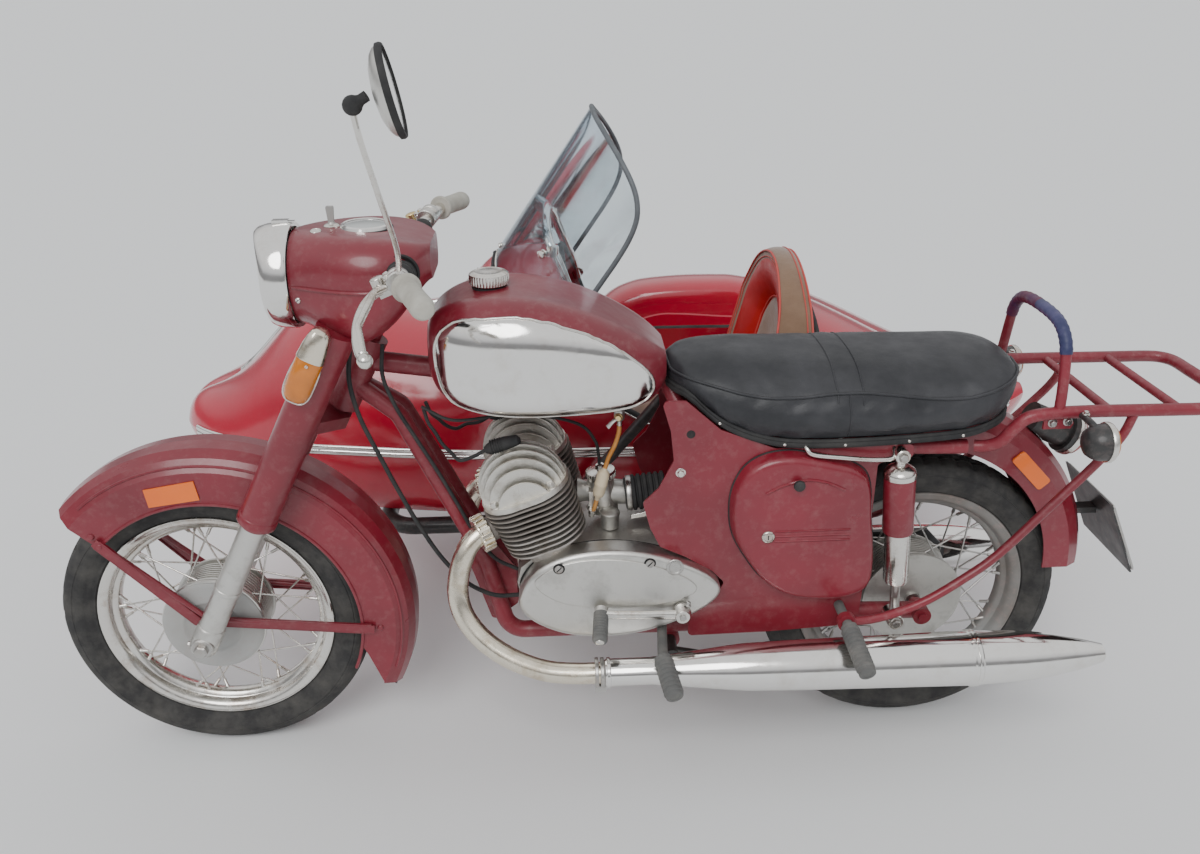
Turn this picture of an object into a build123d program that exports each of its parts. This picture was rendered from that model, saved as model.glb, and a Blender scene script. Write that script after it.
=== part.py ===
from build123d import *
import math
import os

os.makedirs("parts", exist_ok=True)

# Sidecar outfit: the motorcycle stands on the left, the sidecar on the right.
# The front points to -X, the left side to -Y, the ground is Z = 0. Millimetres.
# Every place below is counted from the rear wheel's contact with the ground;
# at() carries it to the row's frame, whose origin is the middle of the outfit.
rear_x = 547.0        # rear axle from the middle of the outfit's length
bike_y = -406.2       # motorcycle's middle plane from the middle of the width
wheelbase = 1327.0
front_x = -wheelbase
wheel_radius = 287.0
axle_z = wheel_radius
rim_flange = 217.0
sidecar_axle_x = -190.0
sidecar_wheel_y = 1120.0
hull_y = 645.0        # middle plane of the sidecar's body
axle_radius = 9.0
axle_gap = 0.3        # between an axle and the hub that turns on it
fit_gap = 0.3         # between curved faces of neighbouring pieces

rake = math.radians(27.5)
head_x = -977.0       # point on the steering axis, at the head's top
head_z = 841.0
fork_lead = 55.0      # the legs run this far ahead of the steering axis
leg_y = 99.0
stem_radius = 14.0
leg_length = 652.0    # from the head's top down the leg to the axle
along = Vector(math.sin(rake), 0, math.cos(rake))


def at(x, y, z):
    return Vector(x + rear_x, y + bike_y, z)


def down_fork(s, ahead, y):
    # a point s down the steering axis from the head's top, ahead of the axis
    x = head_x - s * math.sin(rake) - ahead * math.cos(rake)
    z = head_z - s * math.cos(rake) + ahead * math.sin(rake)
    return (x, y, z)


def rod(start, end, radius, mode=Mode.ADD):
    a = at(*start)
    b = at(*end)
    with BuildSketch(Plane(origin=a, z_dir=b - a)) as face:
        Circle(radius)
    extrude(face.sketch, amount=(b - a).length, mode=mode)


def tube(points, radius, bend):
    spots = [at(*p) for p in points]
    with BuildLine() as path:
        FilletPolyline(*spots, radius=bend)
    with BuildSketch(Plane(origin=path.line @ 0, z_dir=path.line % 0)) as face:
        Circle(radius)
    sweep(face.sketch, path=path.line)


def block(x0, x1, y0, y1, z0, z1, mode=Mode.ADD):
    with Locations(at((x0 + x1) / 2, (y0 + y1) / 2, (z0 + z1) / 2)):
        Box(x1 - x0, y1 - y0, z1 - z0, mode=mode)


def side_view(y):
    return Plane(origin=at(0, y, 0), x_dir=(1, 0, 0), z_dir=(0, -1, 0))


def plate(points, y0, y1, mode=Mode.ADD):
    # outline in the side view, as x and z, thick from y0 to y1
    with BuildSketch(side_view(y1)) as face:
        with BuildLine():
            Polyline(*points, close=True)
        make_face()
    extrude(face.sketch, amount=y1 - y0, mode=mode)


def soft_plate(points, bend, y0, y1, mode=Mode.ADD):
    # a plate whose outline has rounded corners
    with BuildSketch(side_view(y1)) as face:
        with BuildLine():
            FilletPolyline(*points, radius=bend, close=True)
        make_face()
    extrude(face.sketch, amount=y1 - y0, mode=mode)


def cable(points, radius):
    # each bend is as wide as the two runs beside it allow
    spots = [at(*p) for p in points]
    bends = []
    for a, b, c in zip(spots, spots[1:], spots[2:]):
        turn = math.radians((b - a).get_angle(c - b))
        bends.append(0.45 * min((b - a).length, (c - b).length) / math.tan(turn / 2))
    with BuildLine() as path:
        FilletPolyline(*spots, radius=bends)
    with BuildSketch(Plane(origin=path.line @ 0, z_dir=path.line % 0)) as face:
        Circle(radius)
    sweep(face.sketch, path=path.line)
    print("cable bends", [round(r) for r in bends])


def disc(x, z, radius, y0, y1, mode=Mode.ADD):
    with BuildSketch(side_view(y1)) as face:
        with Locations((x, z)):
            Circle(radius)
    extrude(face.sketch, amount=y1 - y0, mode=mode)


def turned(x, y, z, profile, first=0.0, arc=360.0, mode=Mode.ADD):
    # profile as radius and distance along +Y, turned about a line along Y;
    # first is the starting direction above +X, the turn goes over the top
    start = math.radians(first)
    out = Vector(math.cos(start), 0, math.sin(start))
    flat = Plane(origin=at(x, y, z), x_dir=out, z_dir=out.cross(Vector(0, 1, 0)))
    with BuildSketch(flat) as face:
        with BuildLine():
            Polyline(*profile, close=True)
        make_face()
    revolve(face.sketch, axis=Axis(at(x, y, z), (0, -1, 0)), revolution_arc=arc, mode=mode)


def spindle(start, end, profile):
    # profile as radius and distance from start towards end
    a = at(*start)
    b = at(*end)
    along = (b - a).normalized()
    out = along.cross(Vector(0, 1, 0)) if abs(along.Y) < 0.9 else Vector(0, 0, 1)
    flat = Plane(origin=a, x_dir=out.normalized(), z_dir=out.cross(along))
    with BuildSketch(flat) as face:
        with BuildLine():
            Polyline(*profile, close=True)
        make_face()
    revolve(face.sketch, axis=Axis(a, along))


def box_loft(rows):
    # rows: x, half width, low z, high z, corner radius, middle y
    faces = []
    for x, half, low, high, corner, mid in rows:
        spot = at(x, mid, (low + high) / 2)
        with BuildSketch(Plane(origin=spot, x_dir=(0, 1, 0), z_dir=(1, 0, 0))) as face:
            RectangleRounded(2 * half, high - low, corner)
        faces.append(face.sketch.faces()[0])
    loft(faces)


def tank_loft(rows):
    # rows: x, half width, low z, high z, top corners' radius, low corners' radius
    cut = 1 - math.sqrt(0.5)
    faces = []
    for x, half, low, high, top, foot in rows:
        with BuildSketch(Plane(origin=at(x, 0, 0), x_dir=(0, 1, 0), z_dir=(1, 0, 0))) as face:
            with BuildLine():
                Line((-half + foot, low), (half - foot, low))
                ThreePointArc((half - foot, low), (half - foot * cut, low + foot * cut), (half, low + foot))
                Line((half, low + foot), (half, high - top))
                ThreePointArc((half, high - top), (half - top * cut, high - top * cut), (half - top, high))
                Line((half - top, high), (-half + top, high))
                ThreePointArc((-half + top, high), (-half + top * cut, high - top * cut), (-half, high - top))
                Line((-half, high - top), (-half, low + foot))
                ThreePointArc((-half, low + foot), (-half + foot * cut, low + foot * cut), (-half + foot, low))
            make_face()
        faces.append(face.sketch.faces()[0])
    loft(faces)


# Wheels: profiles as radius and distance from the wheel's middle plane.
tyre_profile = [
    (203.2, -25.5), (219.0, -27.0), (250.0, -43.0), (275.0, -36.0),
    (wheel_radius, -12.0), (wheel_radius, 12.0),
    (275.0, 36.0), (250.0, 43.0), (219.0, 27.0), (203.2, 25.5),
]
rim_profile = [
    (rim_flange, -31.0), (rim_flange, -28.0), (203.0, -26.0), (203.0, 26.0),
    (rim_flange, 28.0), (rim_flange, 31.0), (199.0, 29.0), (186.0, 12.0),
    (186.0, -12.0), (199.0, -29.0),
]
bore = axle_radius + axle_gap
hub_profile = [
    (bore, -55.0), (58.0, -55.0), (62.0, -52.0), (96.0, -50.0), (96.0, -43.0),
    (86.0, -41.0), (86.0, -37.5), (93.0, -37.5), (93.0, -33.0), (84.0, -33.0),
    (84.0, -20.0), (90.0, -20.0), (90.0, -16.0), (84.0, -16.0),
    (84.0, -3.0), (90.0, -3.0), (90.0, 1.0), (84.0, 1.0),
    (84.0, 14.0), (90.0, 14.0), (90.0, 18.0), (84.0, 18.0),
    (84.0, 33.0), (93.0, 33.0), (93.0, 37.5), (72.0, 44.0), (40.0, 52.0),
    (bore, 52.0),
]
spoke_count = 36
spoke_radius = 1.9
spoke_hub_radius = 91.0
spoke_rim_radius = 194.0
spoke_lean = 34.0     # degrees that a spoke sweeps round from hub to rim
hub_flange_y = 35.0


def wheel(x, y):
    turned(x, y, axle_z, rim_profile)
    turned(x, y, axle_z, hub_profile)
    for i in range(spoke_count):
        side = 1 if i % 2 else -1
        lean = spoke_lean if (i // 2) % 2 else -spoke_lean
        hub_turn = math.radians(i * 360.0 / spoke_count)
        rim_turn = hub_turn + math.radians(lean)
        start = at(
            x + spoke_hub_radius * math.cos(hub_turn),
            y + side * hub_flange_y,
            axle_z + spoke_hub_radius * math.sin(hub_turn),
        )
        end = at(
            x + spoke_rim_radius * math.cos(rim_turn),
            y + side * 4.0,
            axle_z + spoke_rim_radius * math.sin(rim_turn),
        )
        with BuildSketch(Plane(origin=start, z_dir=end - start)) as face:
            RegularPolygon(spoke_radius, 6)
        extrude(face.sketch, amount=(end - start).length)


with BuildPart() as front_tyre:
    turned(front_x, 0, axle_z, tyre_profile)
front_tyre.part.label = "front_tyre"
export_step(front_tyre.part, "parts/front_tyre.step")

with BuildPart() as rear_tyre:
    turned(0, 0, axle_z, tyre_profile)
rear_tyre.part.label = "rear_tyre"
export_step(rear_tyre.part, "parts/rear_tyre.step")

with BuildPart() as sidecar_tyre:
    turned(sidecar_axle_x, sidecar_wheel_y, axle_z, tyre_profile)
sidecar_tyre.part.label = "sidecar_tyre"
export_step(sidecar_tyre.part, "parts/sidecar_tyre.step")

with BuildPart() as front_rim:
    wheel(front_x, 0)
front_rim.part.label = "front_rim"
export_step(front_rim.part, "parts/front_rim.step")

with BuildPart() as rear_rim:
    wheel(0, 0)
rear_rim.part.label = "rear_rim"
export_step(rear_rim.part, "parts/rear_rim.step")

with BuildPart() as sidecar_rim:
    wheel(sidecar_axle_x, sidecar_wheel_y)
sidecar_rim.part.label = "sidecar_rim"
export_step(sidecar_rim.part, "parts/sidecar_rim.step")

# Fork: red shrouds on a lower yoke with the stem, bare legs below.
shroud_radius = 33.0
shroud_low = 375.0
leg_radius = 23.0
yoke_top = 158.0
yoke_low = 182.0
nacelle_entry = 40.0   # the shrouds and the stem end this far under the head's top

with BuildPart() as fork_legs:
    for side in (-1, 1):
        top = down_fork(shroud_low, fork_lead, side * leg_y)
        low = down_fork(leg_length + 22.0, fork_lead, side * leg_y)
        rod(top, low, leg_radius)
        disc(front_x, axle_z, 15.0, min(side * 112, side * 126), max(side * 112, side * 126))
    rod((front_x, -118.0, axle_z), (front_x, 118.0, axle_z), axle_radius)
    for side in (-1, 1):
        disc(front_x, axle_z, 14.0, min(side * 60, side * 80), max(side * 60, side * 80))
fork_legs.part.label = "fork_legs"
export_step(fork_legs.part, "parts/fork_legs.step")

# Headlamp nacelle over the fork's top.
lamp_x = -1092.0
lamp_z = 944.0
nacelle_rows = [
    (lamp_x, 80.0, 866.0, 1020.0, 74.0, 0.0),
    (-1050.0, 98.0, 856.0, 1024.0, 66.0, 0.0),
    (-970.0, 126.0, 852.0, 1022.0, 56.0, 0.0),
    (-925.0, 122.0, 884.0, 1018.0, 50.0, 0.0),
    (-890.0, 98.0, 925.0, 1010.0, 34.0, 0.0),
    (-866.0, 60.0, 944.0, 1002.0, 24.0, 0.0),
]
with BuildPart() as nacelle:
    box_loft(nacelle_rows)
    for side in (-1, 1):
        rod(down_fork(-12.0, fork_lead, side * leg_y), down_fork(nacelle_entry, fork_lead, side * leg_y), 34.0)
    rod(down_fork(-30.0, 0, 0), down_fork(0, 0, 0), stem_radius)
nacelle.part.label = "nacelle"
export_step(nacelle.part, "parts/nacelle.step")

with BuildPart() as fork_yoke:
    for side in (-1, 1):
        top = down_fork(nacelle_entry, fork_lead, side * leg_y)
        low = down_fork(shroud_low, fork_lead, side * leg_y)
        rod(top, low, shroud_radius)
    rod(down_fork(0, 0, 0), down_fork(yoke_low, 0, 0), stem_radius)
    yoke_spot = at(*down_fork(yoke_low, 0, 0))
    with BuildSketch(Plane(origin=yoke_spot, x_dir=(0, 1, 0), z_dir=along)):
        with BuildLine():
            Polyline((-leg_y, fork_lead + 26), (leg_y, fork_lead + 26),
                     (leg_y, fork_lead - 26), (22, -20), (-22, -20),
                     (-leg_y, fork_lead - 26), close=True)
        make_face()
    extrude(amount=yoke_low - yoke_top)
    add(nacelle.part, mode=Mode.SUBTRACT)
fork_yoke.part.label = "fork_yoke"
export_step(fork_yoke.part, "parts/fork_yoke.step")

with BuildPart() as headlamp:
    back = (lamp_x - fit_gap, 0.0, lamp_z)
    front = (lamp_x - fit_gap - 60.0, 0.0, lamp_z)
    spindle(back, front, [
        (0.0, 0.0), (84.0, 0.0), (86.0, 6.0), (86.0, 16.0), (76.0, 24.0),
        (74.0, 20.0), (50.0, 36.0), (0.0, 42.0)])
headlamp.part.label = "headlamp"
export_step(headlamp.part, "parts/headlamp.step")

# Handlebar: two stubs out of the nacelle, levers and their clamps.
bar_radius = 11.0
with BuildPart() as handlebar:
    for side in (-1, 1):
        tube([(-905.0, side * 100.0, 968.0), (-902.0, side * 175.0, 985.0),
              (-878.0, side * 262.0, 993.0), (-846.0, side * 345.0, 988.0)], bar_radius, 60.0)
        rod((-899.0, side * 196.0, 987.0), (-891.0, side * 226.0, 990.0), 16.0)
        tube([(-895.0, side * 211.0, 989.0), (-930.0, side * 232.0, 978.0),
              (-948.0, side * 285.0, 945.0), (-934.0, side * 335.0, 912.0)], 5.5, 18.0)
        with Locations(at(-934.0, side * 335.0, 912.0)):
            Sphere(10.0)
    add(nacelle.part, mode=Mode.SUBTRACT)
handlebar.part.label = "handlebar"
export_step(handlebar.part, "parts/handlebar.step")

grip_profile_radius = 16.5
with BuildPart() as grips:
    for side in (-1, 1):
        rod((-877.0, side * 264.5, 993.0), (-843.0, side * 353.0, 988.0), grip_profile_radius)
        rod((-880.0, side * 256.0, 993.2), (-845.5, side * 346.5, 988.0), bar_radius + fit_gap, Mode.SUBTRACT)
grips.part.label = "grips"
export_step(grips.part, "parts/grips.step")

with BuildPart() as mirror:
    tube([(-891.0, -224.0, 1006.4), (-889.0, -246.0, 1060.0), (-905.0, -318.0, 1180.0),
          (-914.0, -332.0, 1250.0)], 4.5, 30.0)
    rod((-914.0, -332.0, 1250.0), (-896.0, -331.0, 1262.0), 12.0)
    spindle((-900.0, -331.0, 1260.0), (-860.0, -328.0, 1268.0), [
        (0.0, 0.0), (20.0, 0.0), (52.0, 10.0), (56.0, 14.0), (56.0, 19.0), (0.0, 19.0)])
mirror.part.label = "mirror"
export_step(mirror.part, "parts/mirror.step")

# Side lamps on the fork's shrouds.
with BuildPart() as fork_lamps:
    for side in (-1, 1):
        middle = at(*down_fork(78.0, fork_lead + 20.0, side * (leg_y + shroud_radius + 14.0)))
        face = Plane(origin=middle, x_dir=(0, 1, 0), z_dir=along)
        with BuildSketch(face.offset(-75.0)):
            RectangleRounded(40.0, 56.0, 12.0)
        extrude(amount=95.0)
        with BuildSketch(face.offset(20.0)):
            RectangleRounded(40.0, 56.0, 12.0)
        with BuildSketch(face.offset(66.0)):
            RectangleRounded(26.0, 30.0, 8.0)
        loft()
        rod(down_fork(0.0, fork_lead, side * leg_y), down_fork(190.0, fork_lead, side * leg_y),
            shroud_radius + fit_gap, Mode.SUBTRACT)
    add(nacelle.part, mode=Mode.SUBTRACT)
fork_lamps.part.label = "fork_lamps"
export_step(fork_lamps.part, "parts/fork_lamps.step")

# Front mudguard: deep channel round the wheel with stays down to the axle.
guard_x = -1308.0
guard_z = 291.0
guard_radius = 357.0
guard_half = 62.0
guard_wall = 3.0
guard_skirt = 258.0


def channel(radius, half, wall, skirt, lip):
    return [
        (skirt, -half - lip), (skirt + 8, -half), (radius - 36, -half), (radius - 14, -half + 14),
        (radius - 3, -half + 32), (radius, 0), (radius - 3, half - 32), (radius - 14, half - 14),
        (radius - 36, half), (skirt + 8, half), (skirt, half + lip), (skirt, half + lip - wall),
        (skirt + 6, half - wall), (radius - 37, half - wall),
        (radius - 17, half - 16), (radius - 6, half - 34), (radius - wall, 0),
        (radius - 6, -half + 34), (radius - 17, -half + 16), (radius - 37, -half + wall),
        (skirt + 6, -half + wall), (skirt, -half - lip + wall),
    ]


with BuildPart() as front_mudguard:
    turned(guard_x, 0, guard_z, channel(guard_radius, guard_half, guard_wall, guard_skirt, 2.0), -27.0, 164.0)
    plate([(-1130, 100), (-1022, 100), (-1022, 150), (-1045, 215), (-1062, 250), (-1130, 250)],
          -90.0, 90.0, Mode.SUBTRACT)
    for side in (-1, 1):
        for x, z in ((-1500.0, 484.0), (-1040.0, 276.0)):
            rod((x, side * (guard_half + 1.0), z), (front_x, side * 67.5, axle_z + 26.0), 5.0)
        disc(front_x, axle_z + 26.0, 12.0 - fit_gap, min(side * 62, side * 73), max(side * 62, side * 73))
front_mudguard.part.label = "front_mudguard"
export_step(front_mudguard.part, "parts/front_mudguard.step")

# Frame of the motorcycle.
head_bore = stem_radius + axle_gap
head_bottom = 150.0
head_top = 10.0
frame_radius = 16.0
top_tube = 18.0       # radius of the tube in the tank's tunnel
rail_z = 258.0
tunnel_top = 792.0  # roof of the tank's tunnel
pivot_x = -362.0    # swinging arm's pivot
stand_x = -470.0    # stand's shaft
stand_z = 226.0
with BuildPart() as main_frame:
    rod(down_fork(head_top, 0, 0), down_fork(head_bottom, 0, 0), 27.0)
    tube([(-1000.0, 0, 790.0), (-840.0, 0, 766.0), (-477.0, 0, 752.3)], top_tube, 200.0)
    for side in (-1, 1):
        tube([down_fork(100.0, 0, side * 8.0), (-948.0, side * 22.0, 696.0), (-812.0, side * 34.0, 400.0),
              (-775.0, side * 60.0, rail_z), (-400.0, side * 60.0, rail_z), (-400.0, side * 60.0, 400.0)],
             frame_radius, 40.0)
        y0, y1 = sorted((side * 28.0, side * 34.0))
        soft_plate([(-860, 452), (-800, 442), (-757, 380), (-757, 300), (-806, 262)], 8.0, y0, y1)
        rod((-480.0, side * 8.0, 750.0), (-440.0, side * 66.0, 660.0), 15.0)
        rod((-440.0, side * 66.0, 660.0), (-330.0, side * 84.0, 636.0), 13.0)
        rod((-330.0, side * 84.0, 636.0), (40.0, side * 100.0, 634.0), 13.0)
        rod((-440.0, side * 66.0, 660.0), (-400.0, side * 60.0, 400.0), 13.0)
        with Locations(at(-440.0, side * 66.0, 660.0)):
            Sphere(16.0)
        with Locations(at(-330.0, side * 84.0, 636.0)):
            Sphere(13.0)
        y0, y1 = sorted((side * 52.0, side * 68.0))
        block(-402.0, -374.0, y0, y1, 284.0, 316.0)
        block(stand_x - 14.0, stand_x + 14.0, y0, y1, stand_z, 252.0)
        disc(stand_x, stand_z, 20.0, y0, y1)
        y0, y1 = sorted((side * 78.0, side * 92.0))
        block(-118.0, -102.0, y0, y1, 636.0, 653.9)
        y0, y1 = sorted((side * 74.0, side * 86.0))
        block(-306.0, -294.0, y0, y1, 636.0, 658.5)
        for x in (-90.0, 30.0):
            rod((x, side * 96.0, 634.0), (x, side * (60.0 + fit_gap), 634.0), 8.0)
    block(-793.0, -777.0, -20.0, 20.0, 762.0, tunnel_top - fit_gap)
    block(-598.0, -582.0, -20.0, 20.0, 754.0, tunnel_top - fit_gap)
    rod((pivot_x, -80.0, 300.0), (pivot_x, 80.0, 300.0), 19.0 + fit_gap, Mode.SUBTRACT)
    rod((stand_x, -80.0, stand_z), (stand_x, 80.0, stand_z), 12.0 + axle_gap, Mode.SUBTRACT)
    rod(down_fork(-5.0, 0, 0), down_fork(head_bottom + 5.0, 0, 0), head_bore, Mode.SUBTRACT)
main_frame.part.label = "main_frame"
export_step(main_frame.part, "parts/main_frame.step")

# Tank, cap and seat.
tank_rows = [
    (-884.0, 52.0, 784.0, 858.0, 34.0, 30.0),
    (-858.0, 98.0, 746.0, 893.0, 56.0, 34.0),
    (-795.0, 132.0, 728.0, 914.0, 76.0, 36.0),
    (-700.0, 141.0, 722.0, 912.0, 76.0, 36.0),
    (-600.0, 126.0, 720.0, 881.0, 62.0, 34.0),
    (-522.0, 96.0, 722.0, 838.0, 38.0, 30.0),
    (-482.0, 60.0, 754.0, 806.0, 22.0, 22.0),
]
with BuildPart() as fuel_tank:
    tank_loft(tank_rows)
    block(-900.0, -470.0, -28.0, 28.0, 700.0, tunnel_top, Mode.SUBTRACT)
fuel_tank.part.label = "fuel_tank"
export_step(fuel_tank.part, "parts/fuel_tank.step")

cap_x = -778.0
with BuildPart() as tank_cap:
    spindle((cap_x, 0.0, 895.0), (cap_x, 0.0, 960.0), [
        (0.0, 0.0), (24.0, 0.0), (24.0, 27.0), (34.0, 27.0), (34.0, 37.0), (22.0, 43.0), (0.0, 44.0)])
    add(fuel_tank.part, mode=Mode.SUBTRACT)
tank_cap.part.label = "tank_cap"
export_step(tank_cap.part, "parts/tank_cap.step")

seat_rows = [
    (-478.0, 60.0, 752.0, 794.0, 18.0, 0.0),
    (-430.0, 98.0, 722.0, 800.0, 34.0, 0.0),
    (-300.0, 138.0, 660.0, 792.0, 50.0, 0.0),
    (-110.0, 146.0, 655.0, 782.0, 50.0, 0.0),
    (70.0, 140.0, 668.0, 780.0, 46.0, 0.0),
    (140.0, 104.0, 694.0, 766.0, 30.0, 0.0),
]
with BuildPart() as seat:
    box_loft(seat_rows)
    block(-490.0, -452.0, -30.0, 30.0, 700.0, 772.0, Mode.SUBTRACT)
    turned(-22.0, 0, 352.0, [(200.0, -66.0), (350.0, -66.0), (350.0, 66.0), (200.0, 66.0)],
           0.0, 180.0, Mode.SUBTRACT)
seat.part.label = "seat"
export_step(seat.part, "parts/seat.step")

# Pressed panels under the seat, with room for the wheel between them.
body_outline = [
    (-496, 745), (-455, 745), (-395, 690), (-300, 652), (-60, 652), (-60, 626), (-120, 618), (-122, 380),
    (-126, 300), (-167, 282), (-300, 275), (-443, 273), (-440, 322), (-402, 345), (-378, 386), (-402, 412),
    (-450, 443), (-496, 466), (-514, 505), (-527, 555), (-500, 582), (-474, 635), (-480, 690),
]
with BuildPart() as centre_body:
    block(-430.0, -376.0, -46.0, 46.0, 490.0, 640.0)
    for side in (-1, 1):
        y0, y1 = sorted((side * 118.0, side * 122.0))
        soft_plate(body_outline, 9.0, y0, y1)
        y0, y1 = sorted((side * 44.0, side * 120.0))
        plate([(-430, 610), (-376, 610), (-376, 490), (-430, 490)], y0, y1)
    for side in (-1, 1):
        rod((-445.0, side * 66.2, 700.0), (-392.0, side * 59.8, 340.0), 13.0 + fit_gap, Mode.SUBTRACT)
        rod((-440.0, side * 66.0, 660.0), (-400.0, side * 60.0, 400.0), 13.0 + fit_gap, Mode.SUBTRACT)
centre_body.part.label = "centre_body"
export_step(centre_body.part, "parts/centre_body.step")

cover_outline = [(-374, 578), (-356, 642), (-264, 652), (-172, 636), (-119, 528), (-113, 354), (-312, 362)]
cover_bend = 26.0
with BuildPart() as side_covers:
    soft_plate(cover_outline, cover_bend, -150.0, -122.0 - fit_gap)
    fillet(side_covers.edges().group_by(Axis.Y)[0], 10.0)
    soft_plate(cover_outline, cover_bend, 122.0 + fit_gap, 150.0)
    fillet(side_covers.edges().group_by(Axis.Y)[-1], 10.0)
side_covers.part.label = "side_covers"
export_step(side_covers.part, "parts/side_covers.step")

# Rear mudguard, swinging arm and shock absorbers.
rear_guard_x = -22.0
rear_guard_z = 352.0
rear_guard_radius = 346.0
with BuildPart() as rear_mudguard:
    turned(rear_guard_x, 0, rear_guard_z, channel(rear_guard_radius, 60.0, 3.0, 262.0, 0.0), 0.0, 165.0)
    plate([(-420, 600), (-420, 300), (-120, 300), (-120, 636), (-200, 648), (-300, 640)],
          -70.0, -50.0, Mode.SUBTRACT)
    plate([(-420, 600), (-420, 300), (-120, 300), (-120, 636), (-200, 648), (-300, 640)],
          50.0, 70.0, Mode.SUBTRACT)
rear_mudguard.part.label = "rear_mudguard"
export_step(rear_mudguard.part, "parts/rear_mudguard.step")

arm_y = 88.0
with BuildPart() as swingarm:
    rod((0, -118.0, axle_z), (0, 118.0, axle_z), axle_radius)
    rod((pivot_x, -arm_y - 16.0, 300.0), (pivot_x, arm_y + 16.0, 300.0), 19.0)
    for side in (-1, 1):
        rod((pivot_x, side * arm_y, 300.0), (8.0, side * arm_y, axle_z), 16.0)
        y0, y1 = sorted((side * 72.0, side * 112.0))
        disc(0, axle_z, 17.0, y0, y1)
swingarm.part.label = "swingarm"
export_step(swingarm.part, "parts/swingarm.step")


def shock(side):
    y = side * 132.0
    top = (-85.0, y, 632.0)
    low = (-62.0, y, 306.0)
    spindle(top, low, [
        (0.0, 0.0), (9.0, 0.0), (9.0, 14.0), (14.0, 14.0), (25.0, 22.0), (27.0, 34.0), (27.0, 146.0),
        (22.0, 146.0), (22.0, 250.0), (9.0, 254.0), (9.0, 326.8), (0.0, 326.8)])
    y0, y1 = sorted((side * 104.3, side * 146.0))
    disc(-62.0, 300.0, 15.0, y0, y1)
    y0, y1 = sorted((side * 122.3, side * 146.0))
    disc(-85.0, 638.0, 13.0, y0, y1)


with BuildPart() as shock_absorbers:
    shock(-1)
    shock(1)
shock_absorbers.part.label = "shock_absorbers"
export_step(shock_absorbers.part, "parts/shock_absorbers.step")

# Engine: twin cylinders leaning forward on a smooth crankcase.
lean = math.radians(20.0)
bore_y = 73.0
base_x = -690.0
base_z = 456.0
fin_count = 10
fin_pitch = 10.5
fin_thick = 3.2
head_base = fin_count * fin_pitch + 10.0
case_outline = [
    (-745, 345), (-752, 392), (-744, 422), (-722, 440), (-640, 462), (-480, 462),
    (-434, 440), (-420, 380), (-436, 320), (-500, 290), (-640, 290), (-715, 305),
]
with BuildPart() as crankcase:
    plate(case_outline, -104.0, 104.0)
crankcase.part.label = "crankcase"
export_step(crankcase.part, "parts/crankcase.step")


cover_shape = [(-748, 385), (-702, 448), (-600, 474), (-480, 452), (-388, 386), (-480, 315), (-600, 293), (-705, 318)]
# the raised field over the cover's upper part
field_shape = [(-716, 425), (-672, 452), (-600, 461), (-500, 440), (-432, 395), (-530, 358), (-634, 364), (-692, 384)]


def smooth_plate(outline, y0, y1, mode=Mode.ADD):
    with BuildSketch(side_view(y1)) as face:
        with BuildLine():
            Spline(*outline, periodic=True)
        make_face()
    extrude(face.sketch, amount=y1 - y0, mode=mode)


with BuildPart() as case_covers:
    smooth_plate(cover_shape, -148.0, -104.0)
    fillet(case_covers.edges().group_by(Axis.Y)[0], 10.0)
    smooth_plate(field_shape, -151.0, -147.0)
    fillet(case_covers.edges().group_by(Axis.Y)[0], 2.0)
    smooth_plate(cover_shape, 104.0, 142.0)
    fillet(case_covers.edges().group_by(Axis.Y)[-1], 10.0)
    rod((-459.0, -140.0, 350.0), (-459.0, -173.0, 350.0), 12.0)
    rod((-459.0, -164.0, 350.0), (-600.0, -168.0, 358.0), 7.0)
    rod((-603.0, -156.0, 363.0), (-609.0, -216.0, 336.0), 12.0)
case_covers.part.label = "case_covers"
export_step(case_covers.part, "parts/case_covers.step")

up_cylinder = Vector(-math.sin(lean), 0, math.cos(lean))


def barrel_plane(side):
    return Plane(origin=at(base_x, side * bore_y, base_z), x_dir=(0, 1, 0), z_dir=up_cylinder)


def along_port(s, side):
    # a point on the line of the exhaust port, s ahead of the port's face
    return (-798.0 - 0.877 * s, side * (90.3 + 0.395 * s), 495.7 - 0.272 * s)


with BuildPart() as cylinders:
    for side in (-1, 1):
        flat = barrel_plane(side)
        with BuildSketch(flat.offset(-14.0)):
            Circle(50.0)
        extrude(amount=14.0 + head_base)
        rod(along_port(-50.0, side), along_port(0.0, side), 23.0)
        for i in range(fin_count):
            with BuildSketch(flat.offset(14.0 + i * fin_pitch)):
                RectangleRounded(126.0 + 1.6 * i, 148.0 + 1.8 * i, 58.0)
            extrude(amount=fin_thick)
    with BuildSketch(barrel_plane(-1).offset(40.0)):
        with Locations((bore_y, 0)):
            Rectangle(60.0, 40.0)
    extrude(amount=10.0)
    plate(case_outline, -104.0, 104.0, Mode.SUBTRACT)
    smooth_plate(cover_shape, -148.0, -104.0, Mode.SUBTRACT)
    smooth_plate(cover_shape, 104.0, 142.0, Mode.SUBTRACT)
cylinders.part.label = "cylinders"
export_step(cylinders.part, "parts/cylinders.step")

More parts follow.
